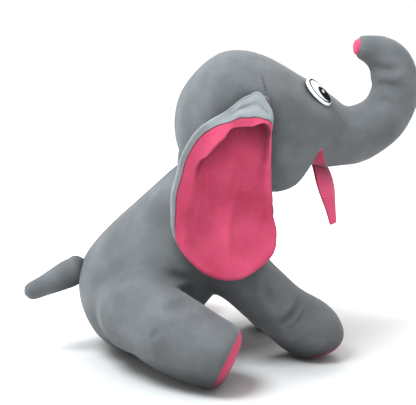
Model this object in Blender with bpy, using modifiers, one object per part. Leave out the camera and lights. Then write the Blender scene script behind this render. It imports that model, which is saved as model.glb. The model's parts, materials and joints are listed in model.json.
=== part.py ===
"""Sitting plush elephant, about 37 cm long, made as sewn fabric skins over stuffing.

Millimetres in the constants, metres in the model.  +X is the way the elephant faces, +Y is its left,
+Z is up, and the floor under the seat and the feet is z = 0.  Every limb has a round root that turns
in a round socket of its parent, so the seam it is sewn by is a hinge with its axis through the ball.
"""
import math

import bmesh
import bpy
from mathutils import Matrix, Vector

MM = 0.001

# ---- driving dimensions (mm) -------------------------------------------------------------------
CLOTH = 2.0            # thickness of the sewn pile fabric
FILL_INSET = 2.9       # how far the stuffing stays inside a skin's outer face
GAP = 0.3              # clearance between neighbouring pieces
SEAM = 0.6             # half the gap between two skins along a seam
TORSO_FILL_INSET = 4.0  # deeper where the seat turns sharply into the flat it rests on
TRUNK_FILL_INSET = 3.8  # and where the trunk bends
TAIL_FILL_INSET = 2.0
TAIL_CLOTH = 1.6
ROOM = 2.2             # growth of a limb for the socket that its root turns in

# Torso: a body along an axis that leans 45 degrees forward from the rump.
RUMP = Vector((-81.0, 0.0, 54.0))
SPINE = Vector((1.0, 0.0, 1.0)).normalized()
BELLY = Vector((1.0, 0.0, -1.0)).normalized()
# along the spine: distance, back, belly and side radius
TORSO_STATIONS = [
    (-55, 0, 0, 0), (-52, 18, 19, 22), (-44, 36, 36, 39), (-30, 50, 50, 53), (-12, 58.5, 56, 60),
    (10, 61, 54, 62), (35, 61, 51, 60), (60, 60, 50, 56), (85, 58, 50, 52), (108, 54, 48, 48),
    (125, 47, 41, 43), (136, 30, 27, 30), (140, 0, 0, 0),
]
GUSSET_HALF_ANGLE = 24.0
GUSSET_SPAN = (-47.0, 34.0)

# Head: rings across X, each with its middle height, half height and half width.
NECK = Vector((14.5, 0.0, 212.0))
HEAD_STATIONS = [
    (-46, 206, 0, 0), (-44.5, 206, 14, 15), (-37.5, 208, 30, 32), (-22, 210, 47, 50), (-2.5, 212, 60, 59),
    (15, 213, 63.5, 62), (34.5, 209.5, 63, 60), (52.5, 205, 58.5, 55), (69, 204, 50, 48.5),
    (85.5, 206, 40.5, 41), (97, 203, 34, 35), (105, 200, 30, 30.5), (108, 199, 0, 0),
]
HEAD_SEAM_X = 17.0
HEAD_FILL_END_X = 92.0
FACE_END = 0.93        # where the face stops along the head, under the trunk
NOD = 12.0

# Trunk: centre line and radius from its ball to the tip.
TRUNK_BALL = Vector((93.5, 0.0, 202.0))
TRUNK_BALL_R = 31.0
TRUNK_STATIONS = [
    (111, 197.4, 27.6), (122, 198.5, 27.2), (133, 202.6, 26.0), (150.5, 213.5, 23.6),
    (161, 230.7, 22.2), (162.5, 247.5, 21.8), (156.5, 264.1, 20.4), (146.5, 274.5, 17.0),
    (135.5, 278.5, 12.5), (128.5, 279.6, 9.5), (124, 280.0, 8.2),
]
TRUNK_SWING = 10.0
TRUNK_ROOM_REACH = 37.0
TRUNK_TIP_WAY = Vector((-1.0, 0.0, 0.08)).normalized()

# Front leg: ball in the chest, then a bent tube to the sole.
FRONT_BALL = Vector((-3.0, 35.0, 90.0))
FRONT_BALL_R = 31.0
FRONT_STATIONS = [
    (17, 36, 71, 27.5), (33, 38, 55.5, 27.0), (48, 40.5, 42, 26.5), (61, 42, 32.5, 28.0),
    (72, 43, 24, 28.5), (79, 43.5, 14.8, 27.0), (82, 43.5, 8.5, 24.0),
]
FRONT_SOLE_NORMAL = Vector((0.34, 0.0, -0.94)).normalized()
FRONT_FOOT_BACK = {"left": 16.0, "right": 0.0}    # the soft left foot rests a little further back
FRONT_ROOM_REACH = 66.0

# Hind leg: ball in the hip, thigh out to the side, foot forward.
HIND_BALL = Vector((-81.0, 50.0, 51.0))
HIND_BALL_R = 38.0
HIND_STATIONS = [
    (-70, 72, 47, 33.0), (-59, 84, 43, 33.5), (-46, 95, 37.5, 32.0), (-34, 103, 32.5, 30.5),
    (-22.5, 109, 29.0, 28.8), (-15, 112.5, 26.5, 27.2), (-11, 114.5, 25.0, 24.5),
]
HIND_SOLE_NORMAL = Vector((0.82, 0.42, -0.40)).normalized()
HIND_ROOM_REACH = 52.0
LEG_SWING = 15.0
SOLE_THICK = 2.4

# Tail
TAIL_ROOT = Vector((-135.5, 0.0, 78.0))
TAIL_ROOT_R = 10.0
TAIL_ROOT_HALF_HEIGHT = 14.0
TAIL_STATIONS = [
    (-145, 74.5, 7.4, 12.6), (-156, 70, 7.2, 11.0), (-167, 65.5, 6.8, 9.2), (-175.5, 62, 6.2, 7.8),
    (-181, 60, 4.6, 5.4), (-183.5, 59, 0, 0),
]
TAIL_ROOM = (2.5, 1.5, 2.0)

# Ear: an egg-shaped cup hung from a short seam at its upper front corner.
EAR_MIDDLE = (-12.5, 152.0)
EAR_OUTLINE = [
    # direction from the middle (degrees, 0 forward, 90 up), distance
    (0, 43), (25, 46), (45, 60), (60, 82), (67, 92), (78, 84), (95, 73), (118, 65), (140, 56),
    (165, 45), (190, 43.5), (215, 50), (240, 60), (262, 70), (282, 73), (300, 73), (318, 62), (338, 50),
]
EAR_INNER_Y = 67.0
EAR_CUP = 13.0
EAR_CLOTH = 2.2
EAR_LINING_LIFT = 2.0 * EAR_CLOTH + 1.2
EAR_LINING_SMALLER = 3.0
EAR_HINGE = Vector((27.0, 64.0, 232.0))
EAR_FORWARD = {"left": 15.0, "right": 0.0}        # degrees that each ear hangs forward

# Tongue and mouth
TONGUE_HINGE = Vector((92.5, 0.0, 163.2))
TONGUE_TIP = Vector((107.0, 0.0, 114.5))
TONGUE_HALF_WIDTH = 13.0
TONGUE_THICK = 3.6
TONGUE_BULGE = 5.0
MOUTH_APEX = Vector((89.5, 0.0, 181.0))
MOUTH_HALF_WIDTH = 24.0
MOUTH_BACK_X = 75.5
MOUTH_FRONT_X = 103.5
MOUTH_FLOOR_Z = 150.0

# Safety eye
EYE_CENTRE = Vector((79.8, 28.6, 238.4))
EYE_NORMAL = Vector((0.60, 0.48, 0.64)).normalized()
EYE_LONG = Vector((0.69, 0.0, -0.72))
EYE_HALF = (15.0, 11.0)
EYE_RISE = 2.3         # the plate stands this far off the centre point on its stem
EYE_DOME = 4.6
EYE_EDGE = 1.0
EYE_STEM_R = 2.5
EYE_STEM_LENGTH = 11.0
WASHER_R = 8.0
WASHER_THICK = 1.6
WASHER_DEPTH = CLOTH + 3.0

SIDES = {"left": 1.0, "right": -1.0}

# colour, roughness
CLOTHS = {
    "grey_pile": ((0.20, 0.215, 0.225), 0.95),
    "pink_pile": ((0.80, 0.10, 0.24), 0.92),
    "stuffing": ((0.85, 0.85, 0.83), 1.0),
    "eye_plastic": ((0.90, 0.90, 0.90), 0.12),
    "washer_plastic": ((0.75, 0.75, 0.72), 0.4),
}


# ---- scene housekeeping ------------------------------------------------------------------------
for old in list(bpy.data.objects):
    bpy.data.objects.remove(old, do_unlink=True)

parts = bpy.data.collections.new("plush_elephant")
cutters = bpy.data.collections.new("cutters")
bpy.context.scene.collection.children.link(parts)
bpy.context.scene.collection.children.link(cutters)


def material(name, finish):
    """A Principled material of its own for one sub-part."""
    colour, roughness = CLOTHS[finish]
    made = bpy.data.materials.new(name)
    made.use_nodes = True
    shader = made.node_tree.nodes["Principled BSDF"]
    shader.inputs["Base Color"].default_value = (*colour, 1.0)
    shader.inputs["Roughness"].default_value = roughness
    shader.inputs["Metallic"].default_value = 0.0
    made.diffuse_color = (*colour, 1.0)
    return made


def pivot(name, point, parent=None):
    """An empty on a joint's axis; the pieces that turn there are its children."""
    empty = bpy.data.objects.new(name, None)
    empty.empty_display_size = 0.01
    parts.objects.link(empty)
    empty.location = Vector(point) * MM
    if parent:
        empty.location -= parent.location
        empty.parent = parent
        bpy.context.view_layer.update()
    return empty


def world_of(empty):
    place = empty.location.copy()
    while empty.parent:
        empty = empty.parent
        place += empty.location
    return place


def part(name, mesh_data, finish, under=None):
    """Turn a bmesh in millimetres into a named, smooth-shaded object below a pivot."""
    mesh = bpy.data.meshes.new(name)
    bmesh.ops.scale(mesh_data, vec=(MM, MM, MM), verts=mesh_data.verts)
    mesh_data.to_mesh(mesh)
    mesh_data.free()
    mesh.materials.append(material(name, finish))
    mesh.shade_smooth()
    mesh.set_sharp_from_angle(angle=math.radians(50))
    piece = bpy.data.objects.new(name, mesh)
    parts.objects.link(piece)
    if under:
        mesh.transform(Matrix.Translation(-world_of(under)))
        piece.parent = under
    return piece


def cutter(name, mesh_data):
    """A hidden tool solid, in millimetres."""
    mesh = bpy.data.meshes.new(name)
    bmesh.ops.scale(mesh_data, vec=(MM, MM, MM), verts=mesh_data.verts)
    bmesh.ops.recalc_face_normals(mesh_data, faces=mesh_data.faces)
    mesh_data.to_mesh(mesh)
    mesh_data.free()
    tool = bpy.data.objects.new(name, mesh)
    cutters.objects.link(tool)
    tool.hide_render = True
    tool.display_type = "WIRE"
    return tool


def cut(piece, tool, operation="DIFFERENCE"):
    step = piece.modifiers.new(f"{operation.lower()}_{tool.name}", "BOOLEAN")
    step.operation = operation
    step.object = tool
    step.solver = "EXACT"


def solidify(piece, thickness, offset=-1.0):
    shell = piece.modifiers.new("cloth", "SOLIDIFY")
    shell.thickness = thickness * MM
    shell.offset = offset


# ---- swept bodies ------------------------------------------------------------------------------
def spline(values, t):
    """Catmull-Rom through evenly numbered values (numbers or vectors), t from 0 to len - 1."""
    last = len(values) - 1
    i = min(int(t), last - 1)
    f = t - i
    a, b, c, d = (values[max(0, min(last, k))] for k in (i - 1, i, i + 1, i + 2))
    return b + (c - a) * (0.5 * f) + (a * 2.0 - b * 5.0 + c * 4.0 - d) * (0.5 * f * f) \
        + (b * 3.0 - a - c * 3.0 + d) * (0.5 * f * f * f)


class Body:
    """A closed soft form: rings of elliptic section along a path, t from 0 to 1.

    rings holds (centre, up, side, half_up, half_down, half_side): up and side are unit vectors
    across the path.  Angle 0 is down, 90 degrees is +side and 180 degrees is up.
    """

    def __init__(self, rings, floor=None):
        self.rings = rings
        self.floor = floor

    def point(self, t, angle):
        s = t * (len(self.rings) - 1)
        centre, up, side, high, low, wide = (spline([r[k] for r in self.rings], s) for k in range(6))
        rise = -math.cos(angle)
        tall = high if rise > 0.0 else low
        spot = centre + up.normalized() * (max(tall, 0.0) * rise)
        spot += side.normalized() * (max(wide, 0.0) * math.sin(angle))
        if self.floor is not None:
            spot.z = max(spot.z, self.floor)
        return spot

    def closed(self, along, around, t0=0.0, t1=1.0):
        """The whole body as a UV sphere whose rings are moved onto the stations."""
        body = bmesh.new()
        bmesh.ops.create_uvsphere(body, u_segments=around, v_segments=along, radius=1.0)
        for vert in body.verts:
            polar = math.acos(max(-1.0, min(1.0, vert.co.z)))
            turn = math.atan2(vert.co.y, vert.co.x)
            vert.co = self.point(t0 + (t1 - t0) * polar / math.pi, turn)
        return outward(body)

    def sheet(self, along, around, t0=0.0, t1=1.0, a0=0.0, a1=360.0, skip=None):
        """An open patch of the body's skin between two stations and two angles (degrees)."""
        patch = bmesh.new()
        bmesh.ops.create_grid(patch, x_segments=along, y_segments=around, size=0.5)
        if skip:
            gone = [f for f in patch.faces if skip(*self.fractions(f.calc_center_median(), t0, t1, a0, a1))]
            bmesh.ops.delete(patch, geom=gone, context="FACES")
        for vert in patch.verts:
            t, angle = self.fractions(vert.co, t0, t1, a0, a1)
            vert.co = self.point(t, math.radians(angle))
        bmesh.ops.remove_doubles(patch, verts=patch.verts, dist=0.01)
        return patch

    @staticmethod
    def fractions(spot, t0, t1, a0, a1):
        return t0 + (t1 - t0) * (spot.x + 0.5), a0 + (a1 - a0) * (spot.y + 0.5)


def outward(body):
    """Make a closed bmesh's faces point out."""
    bmesh.ops.recalc_face_normals(body, faces=body.faces)
    if body.calc_volume(signed=True) < 0.0:
        bmesh.ops.reverse_faces(body, faces=body.faces)
    return body


def face_outward(mesh_data, middle):
    """Point an open patch's faces away from a point inside the body."""
    out = sum(f.normal.dot(f.calc_center_median() - middle) * f.calc_area() for f in mesh_data.faces)
    if out < 0.0:
        bmesh.ops.reverse_faces(mesh_data, faces=mesh_data.faces)


def inset(mesh_data, depth):
    """Move every vertex of a closed body inwards along its normal."""
    mesh_data.normal_update()
    moved = [(v, v.co - v.normal * depth) for v in mesh_data.verts]
    for vert, spot in moved:
        vert.co = spot
    return mesh_data


def even_rings(stations, ring):
    """Rings from a station table."""
    return [ring(*station) for station in stations]


def share_at(stations, place):
    """How far along the stations, from 0 to 1, the first value of a station reaches a place."""
    places = [s[0] for s in stations]
    low, high = 0.0, float(len(places) - 1)
    for _ in range(30):
        middle = (low + high) / 2.0
        if spline(places, middle) < place:
            low = middle
        else:
            high = middle
    return low / (len(places) - 1)


def torso_ring(along, back, belly, side):
    return (RUMP + SPINE * along, -BELLY, Vector((0.0, 1.0, 0.0)), back, belly, side)


def head_ring(x, middle, tall, wide):
    return (Vector((x, 0.0, middle)), Vector((0.0, 0.0, 1.0)), Vector((0.0, 1.0, 0.0)), tall, tall, wide)


def limb_rings(ball, radius, stations, end_normal=None, stretch=1.0, ball_steps=5):
    """Rings of a ball that runs over into a tube through the stations (centre, half_side, half_up).

    stretch is the ball's half height over its radius, for a ball that turns about its upright.
    """
    centres = [spot for spot, _, _ in stations]
    first = (centres[0] - ball).normalized()
    side0 = Vector((0.0, 1.0, 0.0)) if abs(first.y) < 0.7 else Vector((1.0, 0.0, 0.0))
    rings = []
    leave = math.pi - math.asin(min(1.0, stations[0][1] / radius))
    for step in range(ball_steps):
        a = leave * step / ball_steps
        rings.append((ball - first * (radius * math.cos(a)), first, radius * math.sin(a),
                      radius * stretch * math.sin(a)))
    for i, (spot, wide, tall) in enumerate(stations):
        ahead = centres[min(i + 1, len(centres) - 1)]
        behind = centres[i - 1] if i else ball
        way = (ahead - behind).normalized()
        if end_normal:
            share = i / (len(stations) - 1)
            way = way.lerp(end_normal, share * share).normalized()
        rings.append((spot, way, wide, tall))
    upright = 1.0 if first.cross(side0).z >= 0.0 else -1.0
    made = []
    for spot, way, wide, tall in rings:
        side = (side0 - way * side0.dot(way)).normalized()
        made.append((spot, way.cross(side).normalized() * upright, side, tall, tall, wide))
    return made


def sweep_hull(name, points, centre, axis, angles):
    """The convex room that a set of points needs while it turns about an axis."""
    hull = bmesh.new()
    for angle in angles:
        turn = Matrix.Rotation(math.radians(angle), 3, axis)
        for spot in points:
            hull.verts.new(centre + turn @ (spot - centre))
    made = bmesh.ops.convex_hull(hull, input=hull.verts)
    spare = {g for g in made["geom_interior"] + made["geom_unused"] if isinstance(g, bmesh.types.BMVert)}
    bmesh.ops.delete(hull, geom=list(spare), context="VERTS")
    bmesh.ops.dissolve_limit(hull, angle_limit=math.radians(4.0), verts=hull.verts, edges=hull.edges)
    bmesh.ops.triangulate(hull, faces=hull.faces)
    return cutter(name, hull)


def grown_points(mesh_data, amount, keep=None):
    """The vertices of a closed bmesh, moved outwards by an amount; the bmesh is used up."""
    mesh_data.normal_update()
    points = [v.co + v.normal * amount for v in mesh_data.verts if keep is None or keep(v.co)]
    mesh_data.free()
    return points


def mirrored(spot, side):
    return Vector((spot[0], spot[1] * side, spot[2]))


def front_stations(side_name):
    """The front leg's stations, with the foot moved back where it rests further back."""
    count = len(FRONT_STATIONS) - 1
    back = FRONT_FOOT_BACK[side_name]
    return [(x - back * min(1.0, i / (count - 2)), y, z, r) for i, (x, y, z, r) in enumerate(FRONT_STATIONS)]


def ball_cutter(name, centre, radii, segments=20):
    tool = bmesh.new()
    bmesh.ops.create_uvsphere(tool, u_segments=segments, v_segments=segments // 2 + 2, radius=1.0)
    bmesh.ops.scale(tool, vec=radii, verts=tool.verts)
    bmesh.ops.translate(tool, vec=centre, verts=tool.verts)
    return cutter(name, tool)


def pole(tool_radius, length, start, way, sides=16):
    """A cylinder from a point along a direction."""
    rod = bmesh.new()
    bmesh.ops.create_cone(rod, cap_ends=True, segments=sides, radius1=tool_radius, radius2=tool_radius,
                          depth=length)
    bmesh.ops.translate(rod, vec=(0.0, 0.0, length / 2.0), verts=rod.verts)
    turn = way.to_track_quat("Z", "Y").to_matrix()
    bmesh.ops.rotate(rod, cent=(0, 0, 0), matrix=turn, verts=rod.verts)
    bmesh.ops.translate(rod, vec=start, verts=rod.verts)
    return rod


# ---- joints ------------------------------------------------------------------------------------
body_pivot = pivot("torso_body", (0.0, 0.0, 0.0))
neck_pivot = pivot("neck_pivot", NECK, body_pivot)
trunk_pivot = pivot("trunk_pivot", TRUNK_BALL, neck_pivot)
tongue_pivot = pivot("tongue_pivot", TONGUE_HINGE, neck_pivot)
tail_pivot = pivot("tail_pivot", TAIL_ROOT, body_pivot)
ear_pivots = {s: pivot(f"ear_{s}_pivot", mirrored(EAR_HINGE, k), neck_pivot) for s, k in SIDES.items()}
front_pivots = {s: pivot(f"front_leg_{s}_pivot", mirrored(FRONT_BALL, k), body_pivot)
                for s, k in SIDES.items()}
hind_pivots = {s: pivot(f"hind_leg_{s}_pivot", mirrored(HIND_BALL, k), body_pivot)
               for s, k in SIDES.items()}

# ---- legs --------------------------------------------------------------------------------------
AROUND_LEG = 12
ALONG_LEG = 13
BALL_STEPS = 5


def leg_body(ball, radius, stations, sole_normal, side, thinner):
    """The leg as a swept body whose tube and sole are made thinner by an amount all round."""
    spots = [(mirrored(s[:3], side), s[3] - thinner, s[3] - thinner) for s in stations]
    normal = mirrored(sole_normal, side)
    return Body(limb_rings(mirrored(ball, side), radius, spots, normal, ball_steps=BALL_STEPS))


def make_leg(kind, ball, radius, stations, sole_normal, side_name, under):
    """Stuffing with its ball root, the skin tube round it and the sole let into its open end."""
    side = SIDES[side_name]
    name = f"{kind}_leg_{side_name}"
    last = BALL_STEPS + len(stations) - 1
    normal = mirrored(sole_normal, side)
    fill = leg_body(ball, radius, stations, sole_normal, side, FILL_INSET)
    stuffing = fill.closed(ALONG_LEG, AROUND_LEG)
    end = mirrored(stations[-1][:3], side)
    level = end - normal * (SOLE_THICK + GAP)
    for vert in stuffing.verts:
        over = (vert.co - level).dot(normal)
        if over > 0.0:
            vert.co -= normal * over
    bmesh.ops.remove_doubles(stuffing, verts=stuffing.verts, dist=0.05)
    bmesh.ops.recalc_face_normals(stuffing, faces=stuffing.faces)
    part(f"{name}_stuffing", stuffing, "stuffing", under)

    skin_body = leg_body(ball, radius, stations, sole_normal, side, 0.0)
    start = (BALL_STEPS + 0.12) / last
    skin = skin_body.sheet(ALONG_LEG - 4, AROUND_LEG, start, 1.0)
    face_outward(skin, mirrored(stations[2][:3], side))
    skin_piece = part(f"{name}_skin", skin, "grey_pile", under)
    solidify(skin_piece, CLOTH)

    sole = pole(stations[-1][3] - CLOTH - GAP - 0.4, SOLE_THICK, end - normal * SOLE_THICK, normal, 14)
    sole_piece = part(f"{name}_sole", sole, "pink_pile", under)
    rim = sole_piece.modifiers.new("soft_edge", "BEVEL")
    rim.width = 0.7 * MM
    rim.segments = 1
    rim.limit_method = "ANGLE"
    return skin_piece


def leg_room(kind, ball, radius, stations, sole_normal, side_name, reach):
    """What a leg sweeps close to its root, as a cutter for the torso."""
    side = SIDES[side_name]
    solid = leg_body(ball, radius, stations, sole_normal, side, 0.0).closed(10, 12)
    centre = mirrored(ball, side)
    points = grown_points(solid, ROOM, keep=lambda spot: (spot - centre).length < reach)
    return sweep_hull(f"{kind}_{side_name}_room", points, centre, Vector((0.0, 1.0, 0.0)),
                      (-LEG_SWING, 0.0, LEG_SWING))


leg_rooms = {}
for side_name in SIDES:
    front = front_stations(side_name)
    make_leg("front", FRONT_BALL, FRONT_BALL_R, front, FRONT_SOLE_NORMAL, side_name, front_pivots[side_name])
    make_leg("hind", HIND_BALL, HIND_BALL_R, HIND_STATIONS, HIND_SOLE_NORMAL, side_name,
             hind_pivots[side_name])
    leg_rooms[side_name] = [
        leg_room("front", FRONT_BALL, FRONT_BALL_R, front, FRONT_SOLE_NORMAL, side_name,
                 FRONT_ROOM_REACH),
        leg_room("hind", HIND_BALL, HIND_BALL_R, HIND_STATIONS, HIND_SOLE_NORMAL, side_name,
                 HIND_ROOM_REACH),
    ]

# ---- head --------------------------------------------------------------------------------------
AROUND_HEAD = 20
ALONG_HEAD = 14
head_body = Body(even_rings(HEAD_STATIONS, head_ring))
nod_axis = Vector((0.0, 1.0, 0.0))


def trunk_rings(thinner):
    spots = [(Vector((x, 0.0, z)), r - thinner, r - thinner) for x, z, r in TRUNK_STATIONS]
    return limb_rings(TRUNK_BALL, TRUNK_BALL_R, spots, ball_steps=BALL_STEPS)


trunk_points = grown_points(Body(trunk_rings(0.0)).closed(20, 12), ROOM,
                            keep=lambda spot: (spot - TRUNK_BALL).length < TRUNK_ROOM_REACH)
trunk_room = sweep_hull("trunk_room", trunk_points, TRUNK_BALL, nod_axis, (-TRUNK_SWING, 0.0, TRUNK_SWING))

# mouth: a wedge under the trunk's root where the pink lining replaces the grey cloth

def mouth_wedge(name, shrink):
    wedge = bmesh.new()
    half = MOUTH_HALF_WIDTH - shrink
    corners = [(MOUTH_BACK_X + shrink, MOUTH_FLOOR_Z), (MOUTH_FRONT_X - shrink, MOUTH_FLOOR_Z),
               (MOUTH_APEX.x, MOUTH_APEX.z - 1.5 * shrink)]
    near = [wedge.verts.new((x, -half, z)) for x, z in corners]
    face = wedge.faces.new(near)
    grown = bmesh.ops.extrude_face_region(wedge, geom=[face])
    top = [g for g in grown["geom"] if isinstance(g, bmesh.types.BMVert)]
    bmesh.ops.translate(wedge, vec=(0.0, 2.0 * half, 0.0), verts=top)
    bmesh.ops.recalc_face_normals(wedge, faces=wedge.faces)
    return cutter(name, wedge)


mouth_opening = mouth_wedge("mouth_opening", 0.0)
mouth_patch = mouth_wedge("mouth_patch", GAP)

eye_rooms = {}
for side_name, side in SIDES.items():
    normal = mirrored(EYE_NORMAL, side)
    centre = mirrored(EYE_CENTRE, side)
    eye_rooms[side_name] = (
        cutter(f"eye_hole_{side_name}", pole(EYE_STEM_R + GAP, 30.0, centre - normal * 15.0, normal, 16)),
        cutter(f"eye_pocket_{side_name}",
               pole(WASHER_R + 2.0 * GAP, 22.0, centre - normal * (EYE_STEM_LENGTH + 1.0), normal, 20)),
    )

face_start = share_at(HEAD_STATIONS, HEAD_SEAM_X)
seam_share = 0.004
half_around = AROUND_HEAD // 2
for side_name, side in SIDES.items():
    for name, t0, t1, rows in (("head_back", 0.0, face_start - seam_share, 7),
                               ("face", face_start + seam_share, FACE_END, 8)):
        skin = head_body.sheet(rows, half_around, t0, t1, 0.0, 180.0 * side)
        face_outward(skin, Vector((HEAD_SEAM_X, 0.0, 208.0)))
        bmesh.ops.translate(skin, vec=(0.0, SEAM * side, 0.0), verts=skin.verts)
        piece = part(f"{name}_{side_name}", skin, "grey_pile", neck_pivot)
        solidify(piece, CLOTH)
        if name == "face":
            cut(piece, trunk_room)
            cut(piece, mouth_opening)
            cut(piece, eye_rooms[side_name][0])

lining = head_body.sheet(8, 12, share_at(HEAD_STATIONS, MOUTH_BACK_X - 2.0), FACE_END, -70.0, 70.0)
face_outward(lining, Vector((HEAD_SEAM_X, 0.0, 208.0)))
lining_piece = part("mouth_lining", lining, "pink_pile", neck_pivot)
solidify(lining_piece, CLOTH)
cut(lining_piece, trunk_room)
cut(lining_piece, mouth_patch, "INTERSECT")

fill_t = share_at(HEAD_STATIONS, HEAD_FILL_END_X)
head_fill = inset(head_body.closed(ALONG_HEAD, AROUND_HEAD, 0.0, fill_t), FILL_INSET)
head_stuffing = part("head_stuffing", head_fill, "stuffing", neck_pivot)
cut(head_stuffing, trunk_room)
for side_name in SIDES:
    cut(head_stuffing, eye_rooms[side_name][1])

nod_points = grown_points(head_body.closed(12, 16), ROOM,
                          keep=lambda spot: spot.z < 225.0 and spot.x < HEAD_FILL_END_X - 4.0)
head_room = sweep_hull("head_room", nod_points, NECK, nod_axis, (-NOD, 0.0, NOD))

# ---- torso -------------------------------------------------------------------------------------
torso_body = Body(even_rings(TORSO_STATIONS, torso_ring), floor=0.0)

gusset_t = [share_at(TORSO_STATIONS, place) for place in GUSSET_SPAN]
tail_room = ball_cutter("tail_room", TAIL_ROOT,
                        (TAIL_ROOT_R + TAIL_ROOM[0], TAIL_ROOT_R + TAIL_ROOM[1],
                         TAIL_ROOT_HALF_HEIGHT + TAIL_ROOM[2]))


def in_gusset(t, angle):
    return gusset_t[0] < t < gusset_t[1] and abs(angle) < GUSSET_HALF_ANGLE


TORSO_ROWS = 15
HALF_TORSO = 11
for side_name, side in SIDES.items():
    skin = torso_body.sheet(TORSO_ROWS, HALF_TORSO, 0.0, 1.0, 0.0, 180.0 * side, skip=in_gusset)
    face_outward(skin, RUMP + SPINE * 40.0)
    bmesh.ops.translate(skin, vec=(0.0, SEAM * side, 0.0), verts=skin.verts)
    piece = part(f"torso_side_{side_name}", skin, "grey_pile", body_pivot)
    solidify(piece, CLOTH)
    cut(piece, head_room)
    cut(piece, tail_room)
    for room in leg_rooms[side_name]:
        cut(piece, room)

row = 1.0 / TORSO_ROWS
g0 = math.ceil(gusset_t[0] / row) * row
g1 = math.floor(gusset_t[1] / row) * row
step_angle = 180.0 / HALF_TORSO
wide_angle = math.floor(GUSSET_HALF_ANGLE / step_angle) * step_angle
seam_angle = 0.9
gusset = torso_body.sheet(round((g1 - g0) / row), 4, g0 + seam_share, g1 - seam_share,
                          seam_angle - wide_angle, wide_angle - seam_angle)
face_outward(gusset, RUMP + SPINE * 40.0)
gusset_piece = part("belly_gusset", gusset, "grey_pile", body_pivot)
solidify(gusset_piece, CLOTH)

torso_fill = inset(torso_body.closed(TORSO_ROWS, 2 * HALF_TORSO), TORSO_FILL_INSET)
torso_stuffing = part("torso_stuffing", torso_fill, "stuffing", body_pivot)
cut(torso_stuffing, head_room)
cut(torso_stuffing, tail_room)
for side_name in SIDES:
    for room in leg_rooms[side_name]:
        cut(torso_stuffing, room)

# ---- trunk -------------------------------------------------------------------------------------
trunk_last = BALL_STEPS + len(TRUNK_STATIONS) - 1
trunk_skin_body = Body(trunk_rings(0.0))
trunk_fill_body = Body(trunk_rings(TRUNK_FILL_INSET))
TRUNK_ROWS = 14
for side_name, side in SIDES.items():
    skin = trunk_skin_body.sheet(TRUNK_ROWS, 7, (BALL_STEPS + 0.12) / trunk_last, 1.0, 0.0, 180.0 * side)
    face_outward(skin, Vector((150.0, 0.0, 240.0)))
    bmesh.ops.translate(skin, vec=(0.0, SEAM * side, 0.0), verts=skin.verts)
    piece = part(f"trunk_{side_name}", skin, "grey_pile", trunk_pivot)
    solidify(piece, CLOTH)
trunk_fill = trunk_fill_body.closed(20, 14, 0.0, 1.0)
tip_end = Vector((TRUNK_STATIONS[-1][0], 0.0, TRUNK_STATIONS[-1][1]))
tip_level = tip_end - TRUNK_TIP_WAY * (CLOTH + 2.0 * GAP)
for vert in trunk_fill.verts:
    over = (vert.co - tip_level).dot(TRUNK_TIP_WAY)
    if over > 0.0 and (vert.co - tip_end).length < 20.0:
        vert.co -= TRUNK_TIP_WAY * over
bmesh.ops.remove_doubles(trunk_fill, verts=trunk_fill.verts, dist=0.05)
part("trunk_stuffing", trunk_fill, "stuffing", trunk_pivot)
tip_disc = pole(TRUNK_STATIONS[-1][2] - CLOTH - 2.0 * GAP, CLOTH, tip_end - TRUNK_TIP_WAY * CLOTH,
                TRUNK_TIP_WAY, 16)
part("trunk_tip", tip_disc, "pink_pile", trunk_pivot)

# ---- tongue ------------------------------------------------------------------------------------
tongue_way = (TONGUE_TIP - TONGUE_HINGE).normalized()
tongue_front = Vector((0.0, 1.0, 0.0)).cross(tongue_way).normalized()
if tongue_front.x < 0.0:
    tongue_front = -tongue_front
tongue_length = (TONGUE_TIP - TONGUE_HINGE).length
tongue = bmesh.new()
bmesh.ops.create_grid(tongue, x_segments=10, y_segments=6, size=0.5)
for vert in tongue.verts:
    along, across = vert.co.x + 0.5, vert.co.y * 2.0
    width = TONGUE_HALF_WIDTH * (0.62 + 0.38 * math.sin(math.pi * min(along * 1.25, 1.0)))
    width *= math.sqrt(max(0.0, 1.0 - max(0.0, (along - 0.5) / 0.5) ** 2.2)) * 0.86 + 0.14
    bow = TONGUE_BULGE * math.sin(math.pi * along) - 2.2 * across * across * along
    vert.co = (TONGUE_HINGE + tongue_way * (tongue_length * along) + tongue_front * bow
               + Vector((0.0, width * across, 0.0)))
tongue_piece = part("tongue", tongue, "pink_pile", tongue_pivot)
solidify(tongue_piece, TONGUE_THICK, 0.0)

# ---- tail --------------------------------------------------------------------------------------
def tail_body(thinner):
    spots = [(Vector((x, 0.0, z)), max(w - thinner, 0.0), max(h - thinner, 0.0))
             for x, z, w, h in TAIL_STATIONS]
    return Body(limb_rings(TAIL_ROOT, TAIL_ROOT_R, spots, stretch=TAIL_ROOT_HALF_HEIGHT / TAIL_ROOT_R,
                           ball_steps=BALL_STEPS))


tail_last = BALL_STEPS + len(TAIL_STATIONS) - 1
tail_skin = tail_body(0.0).sheet(9, 12, (BALL_STEPS + 0.12) / tail_last, 1.0)
face_outward(tail_skin, Vector((-155.0, 0.0, 70.0)))
tail_piece = part("tail_skin", tail_skin, "grey_pile", tail_pivot)
solidify(tail_piece, TAIL_CLOTH)
tail_fill = tail_body(TAIL_FILL_INSET).closed(12, 12, 0.0, (tail_last - 1.2) / tail_last)
part("tail_stuffing", tail_fill, "stuffing", tail_pivot)

# ---- ears --------------------------------------------------------------------------------------
def ear_reach(angle):
    """Distance from the ear's middle to its edge in a direction (degrees)."""
    angle %= 360.0
    table = EAR_OUTLINE
    count = len(table)
    for i in range(count):
        a0, r0 = table[i]
        a1, r1 = table[(i + 1) % count]
        a1 += 360.0 if a1 <= a0 else 0.0
        if a0 <= angle < a1:
            before = table[i - 1][1]
            after = table[(i + 2) % count][1]
            return spline([before, r0, r1, after], 1.0 + (angle - a0) / (a1 - a0))
    return table[0][1]


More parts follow.
